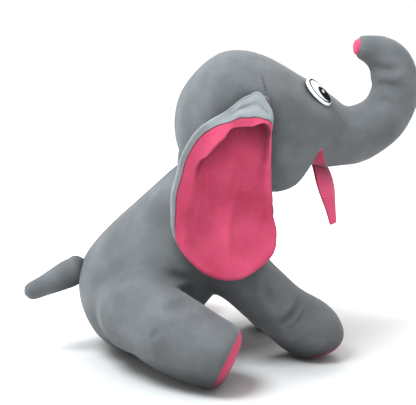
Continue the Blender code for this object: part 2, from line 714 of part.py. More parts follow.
def ear_point(u, v, side, lift, smaller):
    """A point of the ear's cup; lift moves it outwards from the cup's middle face."""
    x = u * math.sqrt(1.0 - v * v / 2.0)
    z = v * math.sqrt(1.0 - u * u / 2.0)
    share = math.hypot(x, z)
    angle = math.degrees(math.atan2(z, x)) if share > 1e-9 else 0.0
    reach = (ear_reach(angle) - smaller) * share
    spot_x = EAR_MIDDLE[0] + reach * math.cos(math.radians(angle))
    spot_z = EAR_MIDDLE[1] + reach * math.sin(math.radians(angle))
    near_root = math.exp(-((spot_x - EAR_HINGE.x) ** 2 + (spot_z - EAR_HINGE.z) ** 2) / 26.0 ** 2)
    depth = (EAR_INNER_Y + EAR_CUP * share ** 2) * (1.0 - near_root) + (EAR_HINGE.y + 1.5) * near_root
    return Vector((spot_x, (depth + lift) * side, spot_z))


def make_ear_layer(name, side_name, lift, smaller, finish, under):
    side = SIDES[side_name]
    layer = bmesh.new()
    bmesh.ops.create_grid(layer, x_segments=8, y_segments=10, size=1.0)
    for vert in layer.verts:
        vert.co = ear_point(vert.co.x, vert.co.y, side, lift, smaller)
    swing = Matrix.Rotation(math.radians(-EAR_FORWARD[side_name]), 3, "Y")
    bmesh.ops.rotate(layer, cent=mirrored(EAR_HINGE, side), matrix=swing, verts=layer.verts)
    layer.normal_update()
    facing = sum(f.normal.y for f in layer.faces) * side
    if facing < 0.0:
        bmesh.ops.reverse_faces(layer, faces=layer.faces)
    piece = part(name, layer, finish, under)
    solidify(piece, EAR_CLOTH, -1.0)


for side_name, side in SIDES.items():
    ear_pivot = ear_pivots[side_name]
    make_ear_layer(f"ear_back_{side_name}", side_name, EAR_CLOTH, 0.0, "grey_pile", ear_pivot)
    make_ear_layer(f"ear_lining_{side_name}", side_name, EAR_LINING_LIFT, EAR_LINING_SMALLER, "pink_pile",
                   ear_pivot)


# ---- eyes --------------------------------------------------------------------------------------
def turned(name, profile, finish, steps=20):
    """A closed profile (radius, height) turned about Z with a Screw modifier."""
    outline = bmesh.new()
    verts = [outline.verts.new((r, 0.0, h)) for r, h in profile]
    for a, b in zip(verts, verts[1:] + verts[:1]):
        outline.edges.new((a, b))
    piece = part(name, outline, finish)
    screw = piece.modifiers.new("turn", "SCREW")
    screw.steps = steps
    screw.render_steps = steps
    screw.use_merge_vertices = True
    screw.merge_threshold = 0.00005
    return piece


def stand_on(piece, centre, normal, long_way, under):
    """Place a turned piece below a pivot with its axis along the normal."""
    piece.parent = under
    across = normal.cross(long_way).normalized()
    along = across.cross(normal).normalized()
    turn = Matrix((along, across, normal)).transposed().to_4x4()
    piece.matrix_local = Matrix.Translation(Vector(centre) * MM - world_of(under)) @ turn


DOME_STEPS = 6
for side_name, side in SIDES.items():
    normal = mirrored(EYE_NORMAL, side)
    centre = mirrored(EYE_CENTRE, side)
    bends = [math.pi / 2.0 * i / DOME_STEPS for i in range(DOME_STEPS + 1)]
    crown = [(EYE_HALF[0] * math.sin(a), EYE_RISE + EYE_EDGE + (EYE_DOME - EYE_EDGE) * math.cos(a))
             for a in bends]
    profile = crown + [(EYE_HALF[0], EYE_RISE), (EYE_STEM_R, EYE_RISE), (EYE_STEM_R, -EYE_STEM_LENGTH),
                       (0.0, -EYE_STEM_LENGTH)]
    eye = bmesh.new()
    rim = [eye.verts.new((r, 0.0, h)) for r, h in profile]
    for a, b in zip(rim, rim[1:]):
        eye.edges.new((a, b))
    bmesh.ops.spin(eye, geom=eye.verts[:] + eye.edges[:], cent=(0, 0, 0), axis=(0, 0, 1),
                   angle=2.0 * math.pi, steps=20, use_merge=True, use_duplicate=False)
    bmesh.ops.remove_doubles(eye, verts=eye.verts, dist=0.001)
    for vert in eye.verts:
        if math.hypot(vert.co.x, vert.co.y) > EYE_STEM_R + 0.5:
            vert.co.y *= EYE_HALF[1] / EYE_HALF[0]
    bmesh.ops.recalc_face_normals(eye, faces=eye.faces)
    eye_piece = part(f"eye_{side_name}", eye, "eye_plastic")
    stand_on(eye_piece, centre, normal, EYE_LONG, neck_pivot)
    inner = EYE_STEM_R + GAP
    top = -WASHER_DEPTH
    bottom = top - WASHER_THICK
    washer = turned(f"eye_washer_{side_name}",
                    [(inner, top), (WASHER_R, top), (WASHER_R, bottom), (inner, bottom)], "washer_plastic")
    stand_on(washer, centre, normal, EYE_LONG, neck_pivot)
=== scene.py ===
"""Looks of the seated plush elephant: sewn pile skins over stuffing, cupped ears, toy eyes.

Lengths are in millimetres and become metres when a mesh is made.  The frame is the CAD frame:
+X is the way the elephant faces, +Y its left, +Z up, and the floor is z = 0.  Joint centres come
from the frame; the skins' own sections follow the CAD skins.
"""

import json
import math

import bmesh
import bpy
import numpy as np
from mathutils import Matrix, Vector


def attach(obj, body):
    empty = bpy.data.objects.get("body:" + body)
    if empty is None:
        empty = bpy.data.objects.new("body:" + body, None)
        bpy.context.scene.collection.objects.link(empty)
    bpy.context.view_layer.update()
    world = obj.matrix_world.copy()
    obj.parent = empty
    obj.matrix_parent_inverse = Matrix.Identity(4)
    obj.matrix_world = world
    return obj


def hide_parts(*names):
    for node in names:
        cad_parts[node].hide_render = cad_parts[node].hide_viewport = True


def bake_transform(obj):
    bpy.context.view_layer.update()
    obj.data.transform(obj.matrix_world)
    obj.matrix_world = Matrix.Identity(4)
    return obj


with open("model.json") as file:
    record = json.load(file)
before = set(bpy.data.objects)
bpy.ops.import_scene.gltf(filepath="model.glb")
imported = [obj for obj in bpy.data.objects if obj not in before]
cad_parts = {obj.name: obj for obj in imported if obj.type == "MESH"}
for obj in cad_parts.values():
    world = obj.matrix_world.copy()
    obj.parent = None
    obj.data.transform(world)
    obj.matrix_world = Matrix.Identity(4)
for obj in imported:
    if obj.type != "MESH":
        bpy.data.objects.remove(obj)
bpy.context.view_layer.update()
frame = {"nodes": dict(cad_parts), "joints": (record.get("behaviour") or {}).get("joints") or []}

MM = 0.001
SIDES = {"left": 1.0, "right": -1.0}
FORWARD = Vector((1.0, 0.0, 0.0))
ACROSS = Vector((0.0, 1.0, 0.0))
UP = Vector((0.0, 0.0, 1.0))


def joint_centre(name):
    """A joint's centre in millimetres."""
    found = next(j for j in frame["joints"] if j["name"] == name)
    return Vector(found["pos_m"]) / MM


def node(tree, kind, **settings):
    made = tree.nodes.new(kind)
    for key, value in settings.items():
        setattr(made, key, value)
    return made


def map_range(tree, source, source_range, result_range, **settings):
    """What a map range node makes of a value: one range of it goes to another."""
    made = node(tree, "ShaderNodeMapRange", **settings)
    for word, limits in (("From", source_range), ("To", result_range)):
        for end, limit in zip(("Min", "Max"), limits):
            made.inputs[f"{word} {end}"].default_value = limit
    tree.links.new(source, made.inputs["Value"])
    return made.outputs["Result"]


# ---- camera, light and floor, in metres ----
VIEW_AZIMUTH = math.radians(-8.0)
VIEW_HEIGHT = math.radians(9.0)
VIEW_DISTANCE = 0.75
VIEW_TARGET = Vector((-0.015, 0.0, 0.137))
VIEW_LENS = 70.0
# the world's brightness is the sum of these: a part of the direction, where it rises, and from what to what
WORLD_RAMPS = [("Y", (-0.3, 0.5), (0.56, 1.03)), ("Z", (0.3, 0.9), (0.0, 0.75))]
# name, place, what it aims at, size, power, colour
LAMPS = [
    ("key", (-0.66, -0.26, 1.36), (0.0, 0.0, 0.15), 0.7, 30.0, (0.93, 1.0, 1.03)),
    ("rim", (0.45, 0.95, 1.05), (0.05, 0.0, 0.20), 0.6, 9.0, (1.0, 1.0, 1.0)),
]
PAPER_SIZE = 60.0
# the lamps light the paper near the toy, so its tone is darker there and it looks white all over
PAPER_REACH = (0.10, 0.42)
PAPER_TONES = (0.46, 0.97)


def make_camera():
    back = Vector((math.sin(VIEW_AZIMUTH) * math.cos(VIEW_HEIGHT),
                   -math.cos(VIEW_AZIMUTH) * math.cos(VIEW_HEIGHT), math.sin(VIEW_HEIGHT)))
    data = bpy.data.cameras.new("camera")
    data.lens = VIEW_LENS
    data.sensor_width = 36.0
    data.clip_start = 0.01
    camera = bpy.data.objects.new("camera", data)
    bpy.context.scene.collection.objects.link(camera)
    camera.location = VIEW_TARGET + back * VIEW_DISTANCE
    camera.rotation_euler = back.to_track_quat("Z", "Y").to_euler()
    bpy.context.scene.camera = camera


def area_light(name, spot, aim, size, power, colour):
    data = bpy.data.lights.new(name, "AREA")
    data.shape = "DISK"
    data.size = size
    data.energy = power
    data.color = colour
    lamp = bpy.data.objects.new(name, data)
    bpy.context.scene.collection.objects.link(lamp)
    lamp.location = spot
    lamp.rotation_euler = (Vector(spot) - Vector(aim)).to_track_quat("Z", "Y").to_euler()


def make_world():
    """A white studio: bright overhead and beyond the toy, darker on the side it is seen from."""
    world = bpy.data.worlds.new("studio")
    world.use_nodes = True
    tree = world.node_tree
    way = node(tree, "ShaderNodeSeparateXYZ")
    tree.links.new(node(tree, "ShaderNodeTexCoord").outputs["Generated"], way.inputs["Vector"])
    level = node(tree, "ShaderNodeMath", operation="ADD")
    for i, (axis, rise, levels) in enumerate(WORLD_RAMPS):
        part = map_range(tree, way.outputs[axis], rise, levels, interpolation_type="SMOOTHSTEP")
        tree.links.new(part, level.inputs[i])
    # the wall behind the toy looks white from every side
    seen = node(tree, "ShaderNodeMath", operation="MAXIMUM")
    tree.links.new(level.outputs["Value"], seen.inputs[0])
    tree.links.new(node(tree, "ShaderNodeLightPath").outputs["Is Camera Ray"], seen.inputs[1])
    sky = tree.nodes["Background"]
    sky.inputs["Color"].default_value = (1.0, 1.0, 1.0, 1.0)
    tree.links.new(seen.outputs["Value"], sky.inputs["Strength"])
    bpy.context.scene.world = world


def make_stage():
    bpy.context.scene.view_settings.view_transform = "Standard"
    make_world()
    for lamp in LAMPS:
        area_light(*lamp)
    bpy.ops.mesh.primitive_plane_add(size=PAPER_SIZE)
    floor = bpy.context.object
    floor.name = "floor"
    paint = bpy.data.materials.new("floor_paper")
    paint.use_nodes = True
    tree = paint.node_tree
    shader = tree.nodes["Principled BSDF"]
    shader.inputs["Roughness"].default_value = 0.9
    reach = node(tree, "ShaderNodeVectorMath", operation="LENGTH")
    tree.links.new(node(tree, "ShaderNodeTexCoord").outputs["Object"], reach.inputs[0])
    tone = map_range(tree, reach.outputs["Value"], PAPER_REACH, PAPER_TONES)
    tree.links.new(tone, shader.inputs["Base Color"])
    floor.data.materials.append(paint)


make_camera()
make_stage()

# ---- materials ----
# how many to the metre: patches where the nap lies another way, tufts of pile, and fibres
NAP_SCALE = 34.0
TUFT_SCALE = 210.0
FIBRE_SCALE = 1400.0
FIBRE_SHOWS = 0.45
PILE_RELIEF = 0.0006
# how far the painted shade reaches from nearby surfaces, and how fast it darkens the colour then
OCCLUSION_SHADE_REACH = 0.026
OCCLUSION_SHADE_POWER = 1.4


def noise(tree, source, scale, detail=3.0, stretch=None):
    """A noise texture on the object's coordinates, in cycles per metre."""
    made = node(tree, "ShaderNodeTexNoise")
    made.inputs["Scale"].default_value = scale
    made.inputs["Detail"].default_value = detail
    if stretch:
        mapping = node(tree, "ShaderNodeMapping")
        mapping.inputs["Scale"].default_value = stretch
        tree.links.new(source, mapping.inputs["Vector"])
        source = mapping.outputs["Vector"]
    tree.links.new(source, made.inputs["Vector"])
    return made.outputs["Fac"]


def ramp(tree, fac, stops):
    made = node(tree, "ShaderNodeValToRGB")
    bar = made.color_ramp
    while len(bar.elements) < len(stops):
        bar.elements.new(0.5)
    for element, (place, colour) in zip(bar.elements, stops):
        element.position = place
        element.color = (*colour, 1.0)
    tree.links.new(fac, made.inputs["Fac"])
    return made.outputs["Color"]


def pile_cloth(name, dark, middle, light, sheen):
    """Short cut pile: patches where the nap lies another way, fine fibre speckle, a soft sheen, and shade
    painted into the colour near other surfaces.
    """
    made = bpy.data.materials.new(name)
    made.use_nodes = True
    tree = made.node_tree
    shader = tree.nodes["Principled BSDF"]
    spot = node(tree, "ShaderNodeTexCoord").outputs["Object"]
    nap = noise(tree, spot, NAP_SCALE, 5.0)
    patches = ramp(tree, nap, [(0.32, dark), (0.50, middle), (0.70, light)])
    fibre = noise(tree, spot, FIBRE_SCALE, 2.0, (1.0, 1.0, 0.7))
    speckle = ramp(tree, fibre, [(0.25, (0.72, 0.72, 0.72)), (0.75, (1.22, 1.22, 1.22))])
    mix = node(tree, "ShaderNodeMix", data_type="RGBA", blend_type="MULTIPLY")
    mix.inputs["Factor"].default_value = FIBRE_SHOWS
    tree.links.new(patches, mix.inputs["A"])
    tree.links.new(speckle, mix.inputs["B"])
    # shade is painted into the colour where other surfaces are near: in folds, under the lip of an ear and
    # between limbs
    painted_occlusion = node(tree, "ShaderNodeAmbientOcclusion", samples=8)
    painted_occlusion.inputs["Distance"].default_value = OCCLUSION_SHADE_REACH
    painted_shade = node(tree, "ShaderNodeMath", operation="POWER")
    painted_shade.inputs[1].default_value = OCCLUSION_SHADE_POWER
    tree.links.new(painted_occlusion.outputs["AO"], painted_shade.inputs[0])
    shaded = node(tree, "ShaderNodeVectorMath", operation="SCALE")
    tree.links.new(mix.outputs["Result"], shaded.inputs[0])
    tree.links.new(painted_shade.outputs["Value"], shaded.inputs["Scale"])
    tree.links.new(shaded.outputs["Vector"], shader.inputs["Base Color"])
    shader.inputs["Roughness"].default_value = 0.92
    shader.inputs["Specular IOR Level"].default_value = 0.15
    shader.inputs["Sheen Weight"].default_value = sheen
    shader.inputs["Sheen Roughness"].default_value = 0.45
    shader.inputs["Sheen Tint"].default_value = (*[min(1.0, 0.5 + c) for c in light], 1.0)
    tufts = noise(tree, spot, TUFT_SCALE, 3.0)
    heights = node(tree, "ShaderNodeMath", operation="MULTIPLY_ADD")
    heights.inputs[1].default_value = 0.35
    tree.links.new(tufts, heights.inputs[0])
    tree.links.new(fibre, heights.inputs[2])
    bump = node(tree, "ShaderNodeBump")
    bump.inputs["Strength"].default_value = 0.45
    bump.inputs["Distance"].default_value = PILE_RELIEF
    tree.links.new(heights.outputs["Value"], bump.inputs["Height"])
    tree.links.new(bump.outputs["Normal"], shader.inputs["Normal"])
    return made


def plastic(name, colour, roughness, coat=0.0, gloss=0.5):
    """Moulded plastic with a trace of unevenness in its gloss."""
    made = bpy.data.materials.new(name)
    made.use_nodes = True
    tree = made.node_tree
    shader = tree.nodes["Principled BSDF"]
    spot = node(tree, "ShaderNodeTexCoord").outputs["Object"]
    fine = noise(tree, spot, 320.0, 2.0)
    spread = map_range(tree, fine, (0.0, 1.0), (roughness * 0.7, roughness * 1.3))
    tree.links.new(spread, shader.inputs["Roughness"])
    tint = ramp(tree, noise(tree, spot, 90.0),
                [(0.3, tuple(c * 0.93 for c in colour)), (0.7, colour)])
    tree.links.new(tint, shader.inputs["Base Color"])
    shader.inputs["Specular IOR Level"].default_value = gloss
    shader.inputs["Coat Weight"].default_value = coat
    shader.inputs["Coat Roughness"].default_value = 0.05
    return made


GREY = pile_cloth("grey_pile", (0.091, 0.097, 0.103), (0.112, 0.119, 0.126), (0.138, 0.147, 0.155), 0.22)
# a lighter copy of the grey pile: painted light on the ear's folded-over edge
GREY_PAINTED_LIT = pile_cloth("grey_pile_painted_lit", (0.17, 0.185, 0.195), (0.21, 0.228, 0.240), (0.26, 0.280, 0.295), 0.30)
PINK = pile_cloth("pink_pile", (0.43, 0.043, 0.098), (0.50, 0.058, 0.125), (0.57, 0.074, 0.150), 0.18)
# a lighter copy of the pink pile: painted light on the tongue, which hangs in shade
PINK_PAINTED_LIT = pile_cloth("pink_pile_painted_lit",
                          (0.60, 0.070, 0.155), (0.68, 0.092, 0.190), (0.76, 0.115, 0.225), 0.22)
THREAD = pile_cloth("thread", (0.05, 0.055, 0.06), (0.07, 0.075, 0.08), (0.09, 0.095, 0.10), 0.1)
EYE_WHITE = plastic("eye_white", (0.80, 0.81, 0.83), 0.15, 0.3, 0.3)
EYE_BLACK = plastic("eye_black", (0.012, 0.012, 0.014), 0.35, 0.0, 0.0)
GLINT_GREY_PLASTIC = plastic("eye_glint_grey", (0.30, 0.31, 0.33), 0.30, 0.0, 0.0)
WASHER = plastic("washer", (0.72, 0.72, 0.69), 0.45)


# ---- meshes ----
BALL_RINGS = 5
CLOTH_FRAMES = 20
WAVES = 14


def spline(values, t):
    """Catmull-Rom through evenly numbered values (numbers or vectors), t from 0 to len - 1."""
    last = len(values) - 1
    i = min(int(t), last - 1)
    f = t - i
    a, b, c, d = (values[max(0, min(last, k))] for k in (i - 1, i, i + 1, i + 2))
    return b + (c - a) * (0.5 * f) + (a * 2.0 - b * 5.0 + c * 4.0 - d) * (0.5 * f * f) \
        + (b * 3.0 - a - c * 3.0 + d) * (0.5 * f * f * f)


def swept(rings, along, around):
    """A closed bmesh through rings (centre, up, side, half_up, half_down, half_side)."""
    form = bmesh.new()
    bmesh.ops.create_uvsphere(form, u_segments=around, v_segments=along, radius=1.0)
    for vert in form.verts:
        polar = math.acos(max(-1.0, min(1.0, vert.co.z)))
        turn = math.atan2(vert.co.y, vert.co.x)
        s = polar / math.pi * (len(rings) - 1)
        centre, up, side, high, low, wide = (spline([r[k] for r in rings], s) for k in range(6))
        rise = -math.cos(turn)
        tall = max(high if rise > 0.0 else low, 0.0)
        vert.co = centre + up.normalized() * (tall * rise) \
            + side.normalized() * (max(wide, 0.0) * math.sin(turn))
    bmesh.ops.recalc_face_normals(form, faces=form.faces)
    return form


def limb_rings(ball, radius, stations, end_normal=None, stretch=1.0):
    """Rings of a ball that runs over into a tube through the stations (centre, half_side, half_up).

    The tube's end turns to end_normal, and the ball is stretched upwards.
    """
    centres = [spot for spot, _, _ in stations]
    first = (centres[0] - ball).normalized()
    rings = []
    leave = math.pi - math.asin(min(1.0, stations[0][1] / radius))
    for step in range(BALL_RINGS):
        a = leave * step / BALL_RINGS
        rings.append((ball - first * (radius * math.cos(a)), first, radius * math.sin(a),
                      radius * stretch * math.sin(a)))
    for i, (spot, wide, tall) in enumerate(stations):
        ahead = centres[min(i + 1, len(centres) - 1)]
        behind = centres[i - 1] if i else ball
        way = (ahead - behind).normalized()
        if end_normal:
            share = i / (len(stations) - 1)
            way = way.lerp(end_normal, share * share).normalized()
        rings.append((spot, way, wide, tall))
    upright = 1.0 if first.cross(ACROSS).z >= 0.0 else -1.0
    made = []
    for spot, way, wide, tall in rings:
        side = (ACROSS - way * ACROSS.dot(way)).normalized()
        made.append((spot, way.cross(side).normalized() * upright, side, tall, tall, wide))
    return made


def mirrored(spot, side):
    return Vector((spot[0], spot[1] * side, spot[2]))


def as_object(name, form, material):
    """A bmesh in millimetres as an object in metres."""
    mesh = bpy.data.meshes.new(name)
    bmesh.ops.scale(form, vec=(MM, MM, MM), verts=form.verts)
    form.to_mesh(mesh)
    form.free()
    mesh.materials.append(material)
    mesh.shade_smooth()
    piece = bpy.data.objects.new(name, mesh)
    bpy.context.scene.collection.objects.link(piece)
    return piece


def baked(piece):
    """Put what an object's modifiers make of its mesh in place of the mesh."""
    graph = bpy.context.evaluated_depsgraph_get()
    mesh = bpy.data.meshes.new_from_object(piece.evaluated_get(graph))
    piece.modifiers.clear()
    old = piece.data
    piece.data = mesh
    bpy.data.meshes.remove(old)
    mesh.shade_smooth()
    return piece


def fused(name, forms, voxel, smoothing, material):
    """One closed mesh round several overlapping forms, softened where they meet."""
    whole = bmesh.new()
    for form in forms:
        part = bpy.data.meshes.new("part")
        form.to_mesh(part)
        form.free()
        whole.from_mesh(part)
        bpy.data.meshes.remove(part)
    piece = as_object(name, whole, material)
    remesh = piece.modifiers.new("voxels", "REMESH")
    remesh.mode = "VOXEL"
    remesh.voxel_size = voxel * MM
    remesh.use_smooth_shade = True
    soft = piece.modifiers.new("soft", "SMOOTH")
    soft.factor = 0.5
    soft.iterations = smoothing
    baked(piece)
    piece.data.materials.clear()
    piece.data.materials.append(material)
    return piece


def coordinates(mesh):
    spots = np.empty(len(mesh.vertices) * 3)
    mesh.vertices.foreach_get("co", spots)
    return spots.reshape(-1, 3)


def normals(mesh):
    ways = np.empty(len(mesh.vertices) * 3)
    mesh.vertices.foreach_get("normal", ways)
    return ways.reshape(-1, 3)


def place(mesh, spots):
    mesh.vertices.foreach_set("co", np.ascontiguousarray(spots).ravel())
    mesh.update()


def puffed(piece, pressure, cap):
    """Blow the skin up over its stuffing as cloth, and let no point move further than cap."""
    before = coordinates(piece.data)
    cloth = piece.modifiers.new("cloth", "CLOTH")
    cloth.settings.use_pressure = True
    cloth.settings.uniform_pressure_force = pressure
    cloth.settings.effector_weights.gravity = 0.0
    cloth.settings.tension_stiffness = 20.0
    cloth.settings.compression_stiffness = 20.0
    cloth.settings.shear_stiffness = 8.0
    cloth.settings.bending_stiffness = 0.3
    cloth.settings.quality = 6
    cloth.point_cache.frame_start = 1
    cloth.point_cache.frame_end = CLOTH_FRAMES
    scene = bpy.context.scene
    for number in range(1, CLOTH_FRAMES + 1):
        scene.frame_set(number)
    baked(piece)
    scene.frame_set(1)
    after = coordinates(piece.data)
    moved = after - before
    length = np.linalg.norm(moved, axis=1, keepdims=True)
    limit = cap * MM
    place(piece.data, before + moved * (limit * np.tanh(length / limit) / np.maximum(length, 1e-9)))


def finer(piece, levels):
    step = piece.modifiers.new("finer", "SUBSURF")
    step.levels = levels
    step.render_levels = levels
    return baked(piece)


def to_line(spots, line):
    """Distance from each spot to a polyline, and the share of the line's length where it is nearest."""
    best = np.full(len(spots), 1e9)
    share = np.zeros(len(spots))
    points = [np.array(p, float) for p in line]
    lengths = [np.linalg.norm(b - a) for a, b in zip(points, points[1:])]
    run = 0.0
    for a, b, length in zip(points, points[1:], lengths):
        way = (b - a) / length
        t = np.clip((spots - a) @ way, 0.0, length)
        gap = np.linalg.norm(spots - a - t[:, None] * way, axis=1)
        nearer = gap < best
        best[nearer] = gap[nearer]
        share[nearer] = (run + t[nearer]) / sum(lengths)
        run += length
    return best, share


def crease(piece, side, line, width, depth):
    """Press a fold into the skin along a line of (x, z), on the side of the animal that faces +-Y.

    The cloth swells a little on both sides of the fold.
    """
    mesh = piece.data
    spots = coordinates(mesh) / MM
    ways = normals(mesh)
    gap, share = to_line(spots[:, [0, 2]], line)
    facing = np.clip(ways[:, 1] * side * 2.5, 0.0, 1.0)
    taper = np.sin(np.pi * np.clip(share, 0.02, 0.98)) ** 0.6
    push = -np.exp(-(gap / width) ** 2) + 0.45 * np.exp(-((gap - 2.1 * width) / (1.1 * width)) ** 2)
    place(mesh, (spots + ways * (push * depth * taper * facing)[:, None]) * MM)


def seam(piece, origin, normal, width, depth, where=None):
    """A sewn groove where a plane meets the skin; where gives how far it goes, from 0 to 1, at the spots."""
    mesh = piece.data
    spots = coordinates(mesh) / MM
    ways = normals(mesh)
    way = np.array(normal, float)
    way /= np.linalg.norm(way)
    gap = (spots - np.array(origin, float)) @ way
    push = np.exp(-(gap / width) ** 2) * depth
    if where is not None:
        push *= where(spots)
    place(mesh, (spots - ways * push[:, None]) * MM)


def lumps(piece, scale, depth, seed):
    """Slow unevenness of hand-filled stuffing, as a sum of waves along turned directions."""
    mesh = piece.data
    spots = coordinates(mesh) / MM
    ways = normals(mesh)
    random = np.random.default_rng(seed)
    push = np.zeros(len(spots))
    for _ in range(WAVES):
        direction = random.normal(size=3)
        direction /= np.linalg.norm(direction)
        length = scale * random.uniform(0.6, 1.6)
        push += np.sin(spots @ direction * (2.0 * math.pi / length) + random.uniform(0.0, 6.28))
    place(mesh, (spots + ways * (push * depth / math.sqrt(WAVES))[:, None]) * MM)


def on_floor(piece, soft=3.0):
    """Press the underside flat where it lies on the floor, from a height of soft down."""
    mesh = piece.data
    spots = coordinates(mesh) / MM
    z = spots[:, 2]
    low = z < soft
    spots[low, 2] = soft * np.exp(np.minimum(z[low] - soft, 0.0) / soft)
    place(mesh, spots * MM)


def split(piece, cuts, name_at):
    """Cut a skin with planes and part it into pieces that keep the whole skin's shading.

    cuts is a list of (point, normal, reach): the skin is scored where it is near the point.  name_at gives
    the name of the piece that a spot belongs to, or None where nothing is kept.  Covers are grey.
    """
    form = bmesh.new()
    form.from_mesh(piece.data)
    for point, normal, reach in cuts:
        centre = Vector(point) * MM
        near = [f for f in form.faces if (f.calc_center_median() - centre).length < reach * MM]
        geometry = near + list({e for f in near for e in f.edges}) + list({v for f in near for v in f.verts})
        bmesh.ops.bisect_plane(form, geom=geometry, plane_co=centre, plane_no=normal, dist=1e-7)
    form.normal_update()
    made = {}
    labels = [name_at(f.calc_center_median() / MM) for f in form.faces]
    for label in sorted(set(labels) - {None}):
        copy = form.copy()
        copy.faces.ensure_lookup_table()
        gone = [f for f, own in zip(copy.faces, labels) if own != label]
        shade = {tuple(round(c, 7) for c in v.co): v.normal.copy() for v in copy.verts}
        bmesh.ops.delete(copy, geom=gone, context="FACES")
        mesh = bpy.data.meshes.new(label)
        copy.to_mesh(mesh)
        copy.free()
        mesh.materials.append(GREY if label.endswith("cover") else PINK)
        mesh.shade_smooth()
        mesh.normals_split_custom_set_from_vertices(
            [shade[tuple(round(c, 7) for c in v.co)] for v in mesh.vertices])
        part = bpy.data.objects.new(label, mesh)
        bpy.context.scene.collection.objects.link(part)
        made[label] = part
    form.free()
    bpy.data.objects.remove(piece)
    return made


def dressed(piece, slot, fill, *nodes):
    """Hide the CAD nodes that a piece stands for. The piece, what it is made of (slot) and how tightly it is
    filled (fill) are not used.
    """
    if nodes:
        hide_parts(*nodes)


# ---- body and legs ----
BODY_VOXEL = 4.6
RUMP = Vector((-81.0, 0.0, 54.0))
SPINE = Vector((1.0, 0.0, 1.0)).normalized()
BACK = Vector((-1.0, 0.0, 1.0)).normalized()
TORSO_STATIONS = [
    # along the spine, back, belly, side
    (-53, 0, 0, 0), (-50.5, 14.5, 19, 22), (-43.5, 31.5, 36, 39), (-30, 47.5, 50, 53), (-12, 58, 56, 60),
    (10, 62, 54, 62), (35, 62, 51, 60), (60, 60, 50, 56), (85, 59, 50, 52), (108, 57.5, 48, 48),
    (125, 52, 41, 43), (136, 34, 27, 30), (140, 0, 0, 0),
]
FRONT_BALL_R = 31.0
# x, y, z and radius down a leg
FRONT_STATIONS = [
    (17, 36, 71, 27.5), (33, 38, 55.5, 27.0), (48, 40.5, 42, 26.5), (61, 42, 32.5, 28.0),
    (72, 43, 24, 28.5), (79, 43.5, 14.8, 27.0), (83, 43.5, 7.5, 22.0),
    (84, 43.5, 5.0, 12.0), (84, 43.5, 4.5, 0),
]
FRONT_SOLE_NORMAL = Vector((0.34, 0.0, -0.94)).normalized()
FRONT_FOOT_BACK = {"left": 16.0, "right": 0.0}
HIND_BALL_R = 38.0
HIND_STATIONS = [
    (-70, 72, 47, 33), (-59, 84, 43, 33.5), (-46, 95, 37.5, 32), (-34, 103, 32.5, 30.5),
    (-24, 109, 29, 28.8), (-17.5, 112.5, 26.5, 27.2), (-13, 114.7, 24.8, 23),
    (-11, 115.5, 24.2, 13), (-10.5, 115.7, 24, 0),
]
HIND_SOLE_NORMAL = Vector((0.87, 0.27, -0.42)).normalized()
SOLE_IN = 3.6          # a sole's edge behind the end of its leg
SOLE_REACH = 42.0
LEG_START = 36.0       # where a leg's skin begins to turn with it, from its joint's centre
LEG_REACH = 62.0
LEG_ROOM = 52.0        # no part of a leg is further from its axis
NECK_HIDDEN = 9.0      # torso cloth deeper than this in the head is never seen and left out

# folds as a line of (x, z), a half width and a depth: at the front foot's ankle and on top of the leg, then
# from the groin over the thigh
BODY_FOLDS = [
    ([(60, 62), (55, 54), (50, 47), (42, 41), (35, 36)], 2.6, 2.0),
    ([(63, 51), (58, 45), (53, 39)], 2.2, 1.2),
    ([(27, 80), (28, 68), (31, 56)], 3.6, 1.4),
    ([(-34, 68), (-44, 70), (-56, 69), (-68, 66)], 3.2, 2.6),
    ([(-36, 74), (-46, 80), (-58, 86)], 3.6, 1.5),
    ([(-70, 54), (-74, 48), (-78, 44)], 2.2, 0.8),
]


def leg_parts(kind, side_name):
    side = SIDES[side_name]
    ball = joint_centre(f"{kind}_leg_{side_name}_swing")
    if kind == "front":
        back, count = FRONT_FOOT_BACK[side_name], len(FRONT_STATIONS) - 1
        spots = [(Vector((x - back * min(1.0, i / (count - 4)), y * side, z)), r, r)
                 for i, (x, y, z, r) in enumerate(FRONT_STATIONS)]
        return ball, FRONT_BALL_R, spots, mirrored(FRONT_SOLE_NORMAL, side)
    spots = [(mirrored(s[:3], side), s[3], s[3]) for s in HIND_STATIONS]
    return ball, HIND_BALL_R, spots, mirrored(HIND_SOLE_NORMAL, side)


